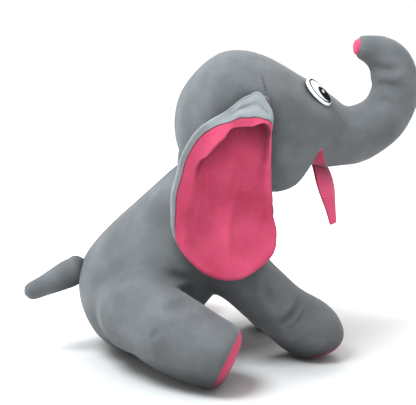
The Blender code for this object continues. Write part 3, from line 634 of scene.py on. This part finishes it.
def make_body():
    torso = [(RUMP + SPINE * s, BACK, ACROSS, back, belly, side) for s, back, belly, side in TORSO_STATIONS]
    forms = [swept(torso, 48, 48)]
    legs = {}
    for kind in ("front", "hind"):
        for side_name in SIDES:
            ball, radius, spots, normal = leg_parts(kind, side_name)
            forms.append(swept(limb_rings(ball, radius, spots, normal), 40, 32))
            way = (spots[4][0] - ball).normalized()
            edge = spots[-3][0] - normal * SOLE_IN
            legs[f"{kind}_leg_{side_name}"] = (ball, way, edge, normal)
    body = fused("body", forms, BODY_VOXEL, 5, GREY)
    on_floor(body)
    puffed(body, 4.0, 2.5)
    finer(body, 2)
    lumps(body, 70.0, 0.5, 3)
    on_floor(body, 1.5)
    shape_body(body)

    cuts = []
    for ball, way, edge, normal in legs.values():
        cuts.append((ball + way * LEG_START, way, LEG_REACH))
        cuts.append((edge, normal, SOLE_REACH))

    def name_at(spot):
        for name, (ball, way, edge, normal) in legs.items():
            rel = spot - ball
            ahead = rel.dot(way)
            off = (rel - way * ahead).length
            same_side = spot.y * ball.y > 0.0
            if same_side and ahead > LEG_START and off < LEG_ROOM:
                if (spot - edge).dot(normal) > 0.0 and (spot - edge).length < SOLE_REACH:
                    return f"{name}_sole_cloth"
                return f"{name}_cover"
        return None if head_depth(spot) > NECK_HIDDEN else "torso_cover"

    made = split(body, cuts, name_at)
    torso = made["torso_cover"]
    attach(torso, "torso")
    dressed(torso, "grey_pile", 0.85, "torso_side_left", "torso_side_right", "belly_gusset", "torso_stuffing")
    for name, (ball, way, _, _) in legs.items():
        cover = made[f"{name}_cover"]
        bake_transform(cover)
        dressed(cover, "grey_pile", 0.85, f"{name}_skin", f"{name}_stuffing")
        sole = made[f"{name}_sole_cloth"]
        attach(sole, name)
        dressed(sole, "pink_pile", 0.6, f"{name}_sole")


def shape_body(body):
    """Seams and folds of the body."""
    for side in SIDES.values():
        for line, width, depth in BODY_FOLDS:
            crease(body, side, line, width, depth)
    # centre seam along the back
    seam(body, (0.0, 0.0, 0.0), ACROSS, 1.8, 0.9, where=lambda p: (p[:, 0] - p[:, 2] < -60.0) * 1.0)


# ---- head and trunk ----
HEAD_VOXEL = 4.2
# x, height of the middle, half height and half width
HEAD_STATIONS = [
    (-46, 207, 0, 0), (-44.5, 207, 15, 15), (-37.5, 209.5, 32.5, 33), (-22, 212, 49.5, 50),
    (-2.5, 213, 61.5, 59), (15, 213, 63.5, 62), (34.5, 209.5, 63, 60), (52.5, 205, 58.5, 55),
    (69, 204, 50, 48.5), (85.5, 206, 40.5, 41), (97, 203, 34, 35), (105, 200, 30, 30.5), (108, 199, 0, 0),
]
TRUNK_BALL = joint_centre("trunk_lift")
TRUNK_BALL_R = 31.0
# x, z and radius along the trunk
TRUNK_STATIONS = [
    (111, 197.4, 28), (122, 198.5, 27.6), (133, 202.6, 26.4), (150.5, 213.5, 24),
    (161, 230.7, 22.6), (162.5, 247.5, 22), (156.5, 264.1, 20.4), (146.5, 274.3, 17),
    (136, 278, 13.4), (128.5, 279.4, 11.2), (124, 279.8, 10), (121.6, 279.9, 6.5), (121, 279.9, 0),
]
# the bend of the trunk gathers in soft folds on its inner side
TRUNK_FOLDS = [
    ([(134, 262), (146, 258), (158, 257)], 4.0, 1.5),
    ([(141, 246), (152, 243), (163, 242)], 4.5, 1.7),
    ([(136, 226), (146, 230), (156, 226)], 4.5, 1.0),
    ([(117, 222), (121, 208), (119, 190)], 5.0, 1.0),
]
HEAD_SEAM_X = 17.0
STITCH_LOW = Vector((26.5, 0.0, 241.5))
STITCH_HIGH = Vector((25.0, 0.0, 252.0))
STITCHES = 6
STITCH_WAY = Vector((1.0, 0.0, 0.35))
STITCH_HALF = (1.1, 0.34, 0.45)
OUTSIDE = 90.0         # further out than the head's side
# the trunk's skin begins to turn with the trunk at the first x and does so wholly before the tip's seam
TRUNK_START = 108.0
TRUNK_Z = 200.0
TRUNK_REACH = 60.0
TIP_IN = 0.6
TIP_REACH = 14.0
# the mouth is a wedge that runs right across under the trunk: its apex and two points below
MOUTH_APEX = Vector((80.5, 0.0, 190.5))
MOUTH_BACK_X = 62.0
MOUTH_FRONT_X = 104.5
MOUTH_FLOOR_Z = 150.0
MOUTH_DEPTH = 8.0
MOUTH_REACH = 75.0
MOUTH_BACK_WAY = Vector((MOUTH_APEX.z - MOUTH_FLOOR_Z, 0.0, MOUTH_BACK_X - MOUTH_APEX.x)).normalized()
MOUTH_FRONT_WAY = Vector((MOUTH_FLOOR_Z - MOUTH_APEX.z, 0.0, MOUTH_APEX.x - MOUTH_FRONT_X)).normalized()


def head_depth(spot):
    """Roughly how deep a point lies inside the head, in millimetres; negative outside."""
    xs = [s[0] for s in HEAD_STATIONS]
    if not xs[0] < spot.x < xs[-1]:
        return -1.0
    middle, tall, wide = (float(np.interp(spot.x, xs, [s[k] for s in HEAD_STATIONS])) for k in (1, 2, 3))
    tall, wide = max(tall, 1.0), max(wide, 1.0)
    share = math.hypot((spot.z - middle) / tall, spot.y / wide)
    return (1.0 - share) * min(tall, wide)


def trunk_tip():
    x, z, _ = TRUNK_STATIONS[-3]
    return Vector((x, 0.0, z)), Vector((-1.0, 0.0, 0.08)).normalized()


def make_head():
    head = [(Vector((x, 0.0, z)), UP, ACROSS, tall, tall, wide)
            for x, z, tall, wide in HEAD_STATIONS]
    trunk = [(Vector((x, 0.0, z)), r, r) for x, z, r in TRUNK_STATIONS]
    forms = [swept(head, 44, 48), swept(limb_rings(TRUNK_BALL, TRUNK_BALL_R, trunk), 60, 28)]
    skin = fused("head_skin", forms, HEAD_VOXEL, 5, GREY)
    puffed(skin, 4.0, 2.0)
    finer(skin, 2)
    lumps(skin, 60.0, 0.45, 11)
    shape_head(skin)

    tip, tip_way = trunk_tip()
    cuts = [
        (Vector((TRUNK_START, 0.0, TRUNK_Z)), FORWARD, TRUNK_REACH),
        (tip - tip_way * TIP_IN, tip_way, TIP_REACH),
        (MOUTH_APEX, MOUTH_BACK_WAY, MOUTH_REACH),
        (MOUTH_APEX, MOUTH_FRONT_WAY, MOUTH_REACH),
    ]

    def name_at(spot):
        rel = spot - MOUTH_APEX
        in_wedge = rel.dot(MOUTH_BACK_WAY) > 0.0 and rel.dot(MOUTH_FRONT_WAY) > 0.0
        if in_wedge and rel.length < MOUTH_REACH:
            return "mouth_cloth"
        if (spot - tip).dot(tip_way) > -TIP_IN and (spot - tip).length < TIP_REACH:
            return "trunk_tip_cloth"
        return "trunk_cover" if spot.x > TRUNK_START else "head_cover"

    made = split(skin, cuts, name_at)
    head_piece = made["head_cover"]
    for side_name in SIDES:
        ear_stitches(head_piece, side_name)
    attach(head_piece, "head")
    dressed(head_piece, "grey_pile", 0.9,
            "face_left", "face_right", "head_back_left", "head_back_right", "head_stuffing")
    trunk_piece = made["trunk_cover"]
    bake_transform(trunk_piece)
    dressed(trunk_piece, "grey_pile", 0.9, "trunk_left", "trunk_right", "trunk_stuffing")
    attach(made["trunk_tip_cloth"], "trunk")
    dressed(made["trunk_tip_cloth"], "pink_pile", 0.6, "trunk_tip")
    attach(made["mouth_cloth"], "head")
    dressed(made["mouth_cloth"], "pink_pile", 0.5, "mouth_lining")


def ear_stitches(head_piece, side_name):
    """A short row of hand stitches that runs up the head's seam from the corner of an ear."""
    side = SIDES[side_name]
    bpy.context.view_layer.update()
    form = bmesh.new()
    for i in range(STITCHES):
        spot = STITCH_LOW.lerp(STITCH_HIGH, i / (STITCHES - 1))
        found, where, normal, _ = head_piece.ray_cast(
            Vector((spot.x, OUTSIDE * side, spot.z)) * MM, Vector((0.0, -side, 0.0)))
        if not found:
            continue
        along = (STITCH_WAY - normal * normal.dot(STITCH_WAY)).normalized()
        spin = Matrix((along, normal.cross(along), normal)).transposed().to_4x4()
        stitch = Matrix.Translation(where / MM) @ spin @ Matrix.Diagonal((*STITCH_HALF, 1.0))
        bmesh.ops.create_uvsphere(form, u_segments=10, v_segments=8, radius=1.0, matrix=stitch)
    piece = as_object(f"ear_{side_name}_stitches", form, THREAD)
    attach(piece, "head")


def shape_head(skin):
    """Seams and folds of the head and trunk, and the sunk cloth of the mouth."""
    seam(skin, (HEAD_SEAM_X, 0.0, 0.0), (1.0, 0.0, -0.05), 1.5, 0.55,
         where=lambda p: np.clip((p[:, 2] - 215.0) / 20.0, 0.0, 1.0))
    seam(skin, (0.0, 0.0, 0.0), ACROSS, 1.5, 0.6,
         where=lambda p: ((p[:, 2] > 205.0) | (p[:, 0] > TRUNK_START)) * 1.0)
    for side in SIDES.values():
        for line, width, depth in TRUNK_FOLDS:
            crease(skin, side, line, width, depth)
    # the tip is drawn in by its seam
    tip, tip_way = trunk_tip()
    seam(skin, tip - tip_way * TIP_IN, tip_way, 1.4, 0.9,
         where=lambda p: (np.linalg.norm(p - np.array(tip), axis=1) < 16.0) * 1.0)
    spots = coordinates(skin.data) / MM
    rel = spots - np.array(MOUTH_APEX)
    behind = np.clip(rel @ np.array(MOUTH_BACK_WAY) / 2.6, 0.0, 1.0)
    ahead = np.clip(rel @ np.array(MOUTH_FRONT_WAY) / 10.0, 0.0, 1.0)
    near = np.linalg.norm(rel, axis=1) < MOUTH_REACH
    sunk = MOUTH_DEPTH * behind * behind * (3.0 - 2.0 * behind) * ahead * near
    place(skin.data, (spots - normals(skin.data) * sunk[:, None]) * MM)


make_body()
make_head()


# ---- ears ----
EAR_MIDDLE = (-12.5, 152.0)
EAR_FORWARD = {"left": 15.0, "right": 0.0}
# by the direction from the middle (degrees, 0 forward, 90 up): how far the ear's edge is, how wide the grey
# cloth is that is folded over the front, how far the fold is where the lining drops into the hollow, how deep
# it drops, and over what width
EAR_EDGE = [(0, 41.5), (12, 41.2), (25, 44), (40, 51), (55, 65), (61, 78.5), (66, 87), (70, 92), (75, 87),
            (88, 73), (100, 66), (111, 61.2), (128, 52.6), (151, 44.2), (172, 43), (195, 44.6), (219, 52.1),
            (241, 59.2), (262, 67.5), (281, 70.6), (297, 67.6), (312, 64.3), (322, 57.3), (342, 43.8)]
EAR_GREY = [(0, 0), (50, 0), (58, 1), (61, 4.5), (65, 12), (70, 19.5), (75, 17), (82, 11),
            (95, 5.6), (113, 4.4), (150, 3.4), (195, 2.4), (218, 1.2), (236, 0.3), (260, 0), (300, 0),
            (340, 0)]
EAR_FOLD = [(0, 35), (20, 35), (40, 44), (52, 58), (60, 69), (64, 70), (71, 63.3), (87, 58.4), (92, 50),
            (110, 39.2), (126, 36.3), (149, 26), (172, 24), (195, 26), (216, 34.8), (232, 46), (262, 58),
            (300, 58), (330, 46), (345, 38)]
EAR_DROP = [(0, 2.6), (30, 3.6), (50, 8), (60, 19), (90, 20), (110, 15), (130, 8.5), (150, 6),
            (170, 5), (200, 4.6), (230, 3.4), (262, 2.6), (300, 2.6), (330, 2.6)]
EAR_SOFT = [(0, 13), (40, 10), (55, 3), (62, 1.4), (90, 1.4), (110, 1.8), (130, 5), (150, 10),
            (170, 14), (200, 15), (232, 18), (262, 20), (330, 16)]
# the long folds that hang down the lining, a ridge or a valley each: x at the foot, how far x goes forward
# for each mm above a height, that height, how far out it stands, its half width, and the heights (where it
# ends, and over how much it fades) at its top and its foot
EAR_FOLDS = [
    (-62.9, 0.175, 0, 3.2, 4.5, (192, 22), (98, 24)),
    (-34.2, 0.06, 0, -2.4, 8, (185, 30), (96, 28)),
    (-9, 0.235, 128, 2.4, 5, (192, 35), (92, 24)),
    (5, 0.20, 138, -1, 6, (180, 30), (100, 20)),
]
EAR_FLOOR = 68.5       # the hollow's distance from the animal's middle plane, and how much it dishes
EAR_DISH = 6.0
EAR_ROOF = 20.0        # how far the folded-over roof leans back to the head
EAR_LEAN = 0.28
EAR_BACK = 66.8
EAR_THICK = 3.4
EAR_GAP = 2.4          # between the two cloths
EAR_LIP = 7.0          # the most that the hollow runs on under the lip
EAR_LOW = 2.6          # how far the back cloth stays behind the lining where it isn't folded over it
CLOTH_THICK = 0.8
# the root's height, distance from the middle plane, half size along x and half size across
ROOT_X = 24.0
ROOT_STATIONS = [
    (214, 62.8, 0, 0), (216, 62.6, 3.2, 4.2), (221, 62.3, 4.8, 5.4), (227, 61.6, 5.2, 6.4),
    (232, 60.8, 4.8, 7.0), (235.5, 60.2, 3.2, 6.0), (237, 60.0, 0, 0),
]
BACK_RINGS = 26
ROLL_RINGS = 6
ROOF_RINGS = 14
EAR_AROUND = 240
EAR_ANGLES = [360.0 * i / EAR_AROUND for i in range(EAR_AROUND)]


def around(table, angle):
    """A closed curve through (degrees, value) pairs; only the ear's edge may swing past its values."""
    angle %= 360.0
    count = len(table)
    for i in range(count):
        a0, r0 = table[i]
        a1, r1 = table[(i + 1) % count]
        a1 += 360.0 if a1 <= a0 else 0.0
        if a0 <= angle < a1:
            f = (angle - a0) / (a1 - a0)
            before, after = table[i - 1][1], table[(i + 2) % count][1]
            rise = spline([before, r0, r1, after], 1.0 + f)
            return min(max(rise, min(r0, r1)), max(r0, r1)) if table is not EAR_EDGE else rise
    return table[0][1]


def smooth(t):
    t = min(max(t, 0.0), 1.0)
    return t * t * (3.0 - 2.0 * t)


def ear_depth(angle, r, hollow=False):
    """How far outwards (mm from the animal's middle plane) the ear's front lies.

    With hollow on it is the hollow's floor, which runs on under the lip.
    """
    edge, fold = around(EAR_EDGE, angle), around(EAR_FOLD, angle)
    drop, soft = around(EAR_DROP, angle), around(EAR_SOFT, angle)
    x = EAR_MIDDLE[0] + r * math.cos(math.radians(angle))
    z = EAR_MIDDLE[1] + r * math.sin(math.radians(angle))
    out = EAR_FLOOR + EAR_DISH * (r / edge) ** 2
    if not hollow:
        out += drop * smooth((r - fold) / soft + 0.5)
    for foot_x, slope, bend_z, height, width, (top, top_fade), (foot, foot_fade) in EAR_FOLDS:
        gap = x - foot_x - slope * max(z - bend_z, 0.0)
        fade = smooth((top - z) / top_fade) * smooth((z - foot) / foot_fade)
        out += height * math.exp(-(gap / width) ** 2) * fade
    if hollow:
        return out
    # the lip above the hollow leans back, and so does the folded-over roof, with a crease along it
    lean = smooth((drop - 10.0) / 8.0)
    out -= EAR_LEAN * max(r - fold, 0.0) * lean
    grey = around(EAR_GREY, angle)
    if grey > 4.0 and r > edge - grey:
        share = (r - edge + grey) / grey
        tall = smooth((grey - 4.0) / 7.0)
        out -= EAR_ROOF * share * tall * grey / 19.5
        out -= 2.2 * math.exp(-((share - 0.50) / 0.12) ** 2) * smooth((grey - 8.0) / 5.0)
        out += 1.6 * math.exp(-((share - 0.24) / 0.16) ** 2) * smooth((grey - 7.0) / 5.0)
    return out


def ear_spot(angle, r, out, side):
    return Vector((EAR_MIDDLE[0] + r * math.cos(math.radians(angle)), out * side,
                   EAR_MIDDLE[1] + r * math.sin(math.radians(angle))))


def grey_over(angle):
    """1 where the grey cloth is turned over the lining's edge, 0 where the lining covers it."""
    return smooth((around(EAR_GREY, angle) - 0.4) / 1.6)


def lip_reach(angle):
    """How far the hollow runs on under the lip."""
    edge, fold, drop = (around(t, angle) for t in (EAR_EDGE, EAR_FOLD, EAR_DROP))
    rim = edge - around(EAR_GREY, angle)
    return min(EAR_LIP, 0.55 * max(rim - fold, 0.0)) * smooth((drop - 9.0) / 8.0)


def lining_rings(side):
    """Rings of the lining from its middle outwards: the hollow, the step out of it, the band to the edge."""
    rings = []
    for kind, count in (("hollow", 20), ("step", 12), ("band", 16)):
        for i in range(count):
            share = (i + 1) / count
            ring = []
            for angle in EAR_ANGLES:
                edge, fold, soft = (around(t, angle) for t in (EAR_EDGE, EAR_FOLD, EAR_SOFT))
                over = grey_over(angle)
                rim = edge - around(EAR_GREY, angle)
                border = over * (rim + 0.6) + (1.0 - over) * (edge + 0.6)
                deep = min(fold - soft / 2.0, rim - 3.0) + lip_reach(angle)
                top = min(fold + soft / 2.0, rim - 1.5)
                if kind == "hollow":
                    r = deep * share
                    out = ear_depth(angle, r, hollow=True)
                elif kind == "step":
                    r = deep + (top - deep) * share
                    low, high = ear_depth(angle, deep, hollow=True), ear_depth(angle, top)
                    out = low + (high - low) * smooth(share)
                else:
                    r = top + (border - top) * share
                    tuck = over * 0.9 * smooth((r - rim + 1.2) / 1.8)
                    curl = (1.0 - over) * 2.0 * smooth((r - edge + 2.6) / 3.2) ** 2
                    out = ear_depth(angle, r) - tuck - curl
                ring.append(ear_spot(angle, r, out, side))
            rings.append(ring)
    return rings


def back_out(angle, share):
    """How far outwards the ear's back lies at a share of the way to the edge."""
    edge, fold, soft = (around(t, angle) for t in (EAR_EDGE, EAR_FOLD, EAR_SOFT))
    foot = min(fold + soft / 2.0 + 0.5 + lip_reach(angle), edge - 1.0)
    rise = ear_depth(angle, edge) - EAR_THICK - EAR_BACK - EAR_DISH
    rise = min(rise, 1.1 * (edge - foot))
    low = EAR_BACK + EAR_DISH * share * share + rise * smooth((edge * share - foot) / (edge - foot))
    return min(low, ear_depth(angle, edge * share, hollow=edge * share < foot) - EAR_GAP)


def back_rings(side):
    """Rings of the back from its middle to the edge, round it, and inwards over the lining's border."""
    rings = []
    for i in range(1, BACK_RINGS + 1):
        share = i / BACK_RINGS
        rings.append([ear_spot(a, around(EAR_EDGE, a) * share, back_out(a, share), side) for a in EAR_ANGLES])
    for i in range(1, ROLL_RINGS + 1):
        turn = math.pi * i / ROLL_RINGS
        ring = []
        for a in EAR_ANGLES:
            edge, over = around(EAR_EDGE, a), grey_over(a)
            front = ear_depth(a, edge) - (1.0 - over) * EAR_LOW
            back = back_out(a, 1.0)
            out = back + (front - back) * 0.5 * (1.0 - math.cos(turn))
            roll = 0.5 * EAR_THICK * (0.15 + 0.85 * over)
            ring.append(ear_spot(a, edge + roll * math.sin(turn), out, side))
        rings.append(ring)
    for i in range(1, ROOF_RINGS + 1):
        ring = []
        for a in EAR_ANGLES:
            edge, over = around(EAR_EDGE, a), grey_over(a)
            r = edge - max(around(EAR_GREY, a), 1.5) * i / ROOF_RINGS
            lift = 0.15 * over - EAR_LOW * (1.0 - over)
            ring.append(ear_spot(a, r, ear_depth(a, r) + lift, side))
        rings.append(ring)
    return rings


def ringed(rings, centre):
    """A disc of rings round a centre point."""
    form = bmesh.new()
    middle = form.verts.new(centre)
    rows = [[form.verts.new(p) for p in ring] for ring in rings]
    count = len(rows[0])
    for i in range(count):
        form.faces.new((middle, rows[0][i], rows[0][(i + 1) % count]))
    for inner, outer in zip(rows, rows[1:]):
        for i in range(count):
            j = (i + 1) % count
            form.faces.new((inner[i], outer[i], outer[j], inner[j]))
    return form


def make_ear(side_name):
    side = SIDES[side_name]
    hinge = joint_centre(f"ear_{side_name}_swing")
    swing = Matrix.Rotation(math.radians(-EAR_FORWARD[side_name]), 3, "Y")
    cloths = [("back", GREY, back_rings(side), back_out(0.0, 0.001)),
              ("lining", PINK, lining_rings(side), ear_depth(0.0, 0.01))]
    for part, material, rings, middle_out in cloths:
        form = ringed(rings, ear_spot(0.0, 0.0, middle_out, side))
        bmesh.ops.rotate(form, cent=hinge, matrix=swing, verts=form.verts)
        outward = -side if part == "back" else side
        form.normal_update()
        if next(iter(form.faces)).normal.y * outward < 0.0:
            bmesh.ops.reverse_faces(form, faces=form.faces)
        name = f"ear_{side_name}_{part}_cloth"
        piece = as_object(name, form, material)
        if part == "back":
            # painted light: a lighter copy of the grey pile where the cloth rolls round the edge and lies
            # over the front, as if lit from above
            piece.data.materials.append(GREY_PAINTED_LIT)
            for face in piece.data.polygons:
                face.material_index = int(face.index >= EAR_AROUND * BACK_RINGS)
        relax = piece.modifiers.new("relax", "SMOOTH")
        relax.iterations = 2
        relax.factor = 0.5
        shell = piece.modifiers.new("cloth", "SOLIDIFY")
        shell.thickness = CLOTH_THICK * MM
        shell.offset = -1.0
        baked(piece)
        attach(piece, f"ear_{side_name}")
        dressed(piece, "grey_pile" if part == "back" else "pink_pile", 0.1, f"ear_{part}_{side_name}")


def make_ear_root(side_name):
    """The corner of the ear's cloth that is sewn to the head, round the axis that the ear swings on."""
    side = SIDES[side_name]
    rings = [(Vector((ROOT_X, out * side, z)), FORWARD, ACROSS, half_x, half_x, half_y)
             for z, out, half_x, half_y in ROOT_STATIONS]
    form = swept(rings, 26, 40)
    swing = Matrix.Rotation(math.radians(-EAR_FORWARD[side_name]), 3, "Y")
    bmesh.ops.rotate(form, cent=joint_centre(f"ear_{side_name}_swing"), matrix=swing, verts=form.verts)
    root = as_object(f"ear_{side_name}_root", form, GREY)
    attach(root, f"ear_{side_name}")
    dressed(root, "grey_pile", 0.5)


for side_name in SIDES:
    make_ear(side_name)
    make_ear_root(side_name)


# ---- tongue ----
TONGUE_HINGE = joint_centre("tongue_flap")
TONGUE_TIP = Vector((107.0, 0.0, 114.5))
TONGUE_THICK = 3.0
TONGUE_IN = 12.0       # how much of it is in the mouth, above its hinge
TONGUE_TWIST = math.radians(46.0)
TONGUE_BOW = 3.0       # how far its middle stands forward
TONGUE_CURL = 2.6      # how far its sides turn back
# half width at even steps from the root to the tip
TONGUE_WIDTHS = [9.5, 11.0, 13.0, 13.4, 12.6, 10.6, 8.2, 6.2, 4.6]


def make_tongue():
    """A folded leaf of lining cloth that hangs from the mouth and narrows to a point."""
    way = (TONGUE_TIP - TONGUE_HINGE).normalized()
    across_way = Matrix.Rotation(TONGUE_TWIST, 3, way) @ ACROSS
    front = way.cross(across_way).normalized()
    start = TONGUE_HINGE - way * TONGUE_IN
    length = (TONGUE_TIP - start).length
    form = bmesh.new()
    bmesh.ops.create_grid(form, x_segments=48, y_segments=22, size=0.5)
    for vert in form.verts:
        along, across = vert.co.x + 0.5, vert.co.y * 2.0
        width = spline(TONGUE_WIDTHS, along * (len(TONGUE_WIDTHS) - 1))
        blunt = max(0.0, (along - 0.95) / 0.05)
        width *= 1.0 - 0.35 * blunt * blunt
        bow = TONGUE_BOW * math.sin(math.pi * along) - TONGUE_CURL * across * across * (0.4 + along)
        bow -= 0.4 * math.exp(-((across + 0.25) / 0.25) ** 2)
        vert.co = start + way * (length * along) + front * bow + across_way * (width * across)
    # the tongue's lighter pink is painted light
    piece = as_object("tongue_cloth", form, PINK_PAINTED_LIT)
    shell = piece.modifiers.new("cloth", "SOLIDIFY")
    shell.thickness = TONGUE_THICK * MM
    shell.offset = 0.0
    round_edge = piece.modifiers.new("soft", "SUBSURF")
    round_edge.levels = 1
    round_edge.render_levels = 1
    baked(piece)
    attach(piece, "tongue")
    dressed(piece, "pink_pile", 0.2, "tongue")


make_tongue()

# ---- tail ----
TAIL_ROOT = joint_centre("tail_wag")
TAIL_ROOT_R = 10.0
# x, z, half width and half height along the tail
TAIL_STATIONS = [
    (-145, 73.2, 7.4, 12.6), (-156, 67.8, 7.2, 11.0), (-167, 62.8, 6.8, 9.4), (-175.5, 59.2, 6.4, 8.0),
    (-181, 57.2, 4.8, 5.6), (-183.5, 56.3, 0, 0),
]


def make_tail():
    spots = [(Vector((x, 0.0, z)), w, h) for x, z, w, h in TAIL_STATIONS]
    form = swept(limb_rings(TAIL_ROOT, TAIL_ROOT_R, spots, stretch=1.3), 48, 36)
    tail = as_object("tail_cover", form, GREY)
    lumps(tail, 26.0, 0.35, 5)
    seam(tail, (0.0, 0.0, 0.0), ACROSS, 1.0, 0.7)
    crease(tail, -1.0, [(-139, 68), (-150, 70), (-168, 65), (-178, 61)], 1.4, 0.8)
    finer(tail, 1)
    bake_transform(tail)
    dressed(tail, "grey_pile", 0.7, "tail_skin", "tail_stuffing")


make_tail()

# ---- eyes ----
EYE_CENTRE = Vector((79.8, 28.6, 238.4))
EYE_NORMAL = Vector((0.57, 0.55, 0.61)).normalized()
EYE_LONG = Vector((0.635, 0.0, -0.77))
EYE_HALF = (15.4, 11.4)
EYE_RIM = 1.2          # height of the plate's rim, and of the dome on it
EYE_DOME = 2.2
EYE_STEPS = 56
WHITE, BLACK, GREY_RING = 0, 1, 2
# a disc's bands from its middle out: share of its half size, height over the dome, material
PLATE_BANDS = [(0.12 * i, 0.0, WHITE) for i in range(1, 7)] + [
    (0.805, 0.0, WHITE), (0.81, 0.12, BLACK), (0.915, 0.12, BLACK), (0.92, 0.0, WHITE), (0.95, 0.0, WHITE),
    (0.972, -0.25, WHITE), (0.988, -0.9, WHITE), (1.0, -1.7, WHITE), (0.985, -2.4, WHITE),
    (0.93, -2.8, WHITE), (0.5, -3.0, WHITE), (0.12, -3.2, WHITE),
]
PUPIL_BANDS = [(0.25, 0.22, BLACK), (0.5, 0.22, BLACK), (0.75, 0.22, BLACK), (0.95, 0.20, BLACK),
               (1.0, 0.02, BLACK)]
# the glint is a painted highlight on the pupil: a white dot in a grey ring
GLINT_BANDS = [(0.40, 0.34, WHITE), (0.55, 0.34, WHITE), (0.65, 0.34, GREY_RING), (0.95, 0.32, GREY_RING),
               (1.0, 0.20, GREY_RING)]


def eye_frame(side):
    normal = mirrored(EYE_NORMAL, side)
    across = normal.cross(EYE_LONG).normalized()
    along = across.cross(normal).normalized()
    return mirrored(EYE_CENTRE, side), along, across, normal


def dome(u, v):
    """Height of the eye's face over its base at a place given in half axes."""
    return EYE_RIM + EYE_DOME * math.sqrt(max(0.0, 1.0 - 0.86 * (u * u + v * v)))


def eye_disc(name, side, middle, radii, bands):
    """A disc of bands that lies on the dome round a middle (u, v)."""
    centre, along, across, normal = eye_frame(side)

    def at(share, height, angle):
        u = middle[0] + radii[0] * share * math.cos(angle)
        v = middle[1] + radii[1] * share * math.sin(angle)
        return centre + along * (u * EYE_HALF[0]) + across * (v * EYE_HALF[1]) \
            + normal * (dome(u, v) + height)

    form = bmesh.new()
    hub = form.verts.new(at(0.0, bands[0][1], 0.0))
    rows = [[form.verts.new(at(share, height, 2.0 * math.pi * i / EYE_STEPS)) for i in range(EYE_STEPS)]
            for share, height, _ in bands]
    for i in range(EYE_STEPS):
        j = (i + 1) % EYE_STEPS
        form.faces.new((hub, rows[0][i], rows[0][j])).material_index = bands[0][2]
    for inner, outer, (_, _, material) in zip(rows, rows[1:], bands[1:]):
        for i in range(EYE_STEPS):
            j = (i + 1) % EYE_STEPS
            form.faces.new((inner[i], outer[i], outer[j], inner[j])).material_index = material
    form.normal_update()
    if next(iter(form.faces)).normal.dot(normal) < 0.0:
        bmesh.ops.reverse_faces(form, faces=form.faces)
    piece = as_object(name, form, EYE_WHITE)
    piece.data.materials.append(EYE_BLACK)
    piece.data.materials.append(GLINT_GREY_PLASTIC)
    return piece


for side_name, side in SIDES.items():
    plate = eye_disc(f"eye_{side_name}_plate", side, (0.0, 0.0), (1.0, 1.0), PLATE_BANDS)
    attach(plate, "head")
    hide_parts(f"eye_{side_name}")
    pupil = eye_disc(f"eye_{side_name}_pupil", side, (0.32, -0.12 * side), (0.54, 0.60), PUPIL_BANDS)
    glint = eye_disc(f"eye_{side_name}_glint", side, (0.16, -0.16 * side), (0.135, 0.20), GLINT_BANDS)
    for piece in (pupil, glint):
        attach(piece, "head")
    washer = frame["nodes"][f"eye_washer_{side_name}"]
    washer.data.materials.clear()
    washer.data.materials.append(WASHER)
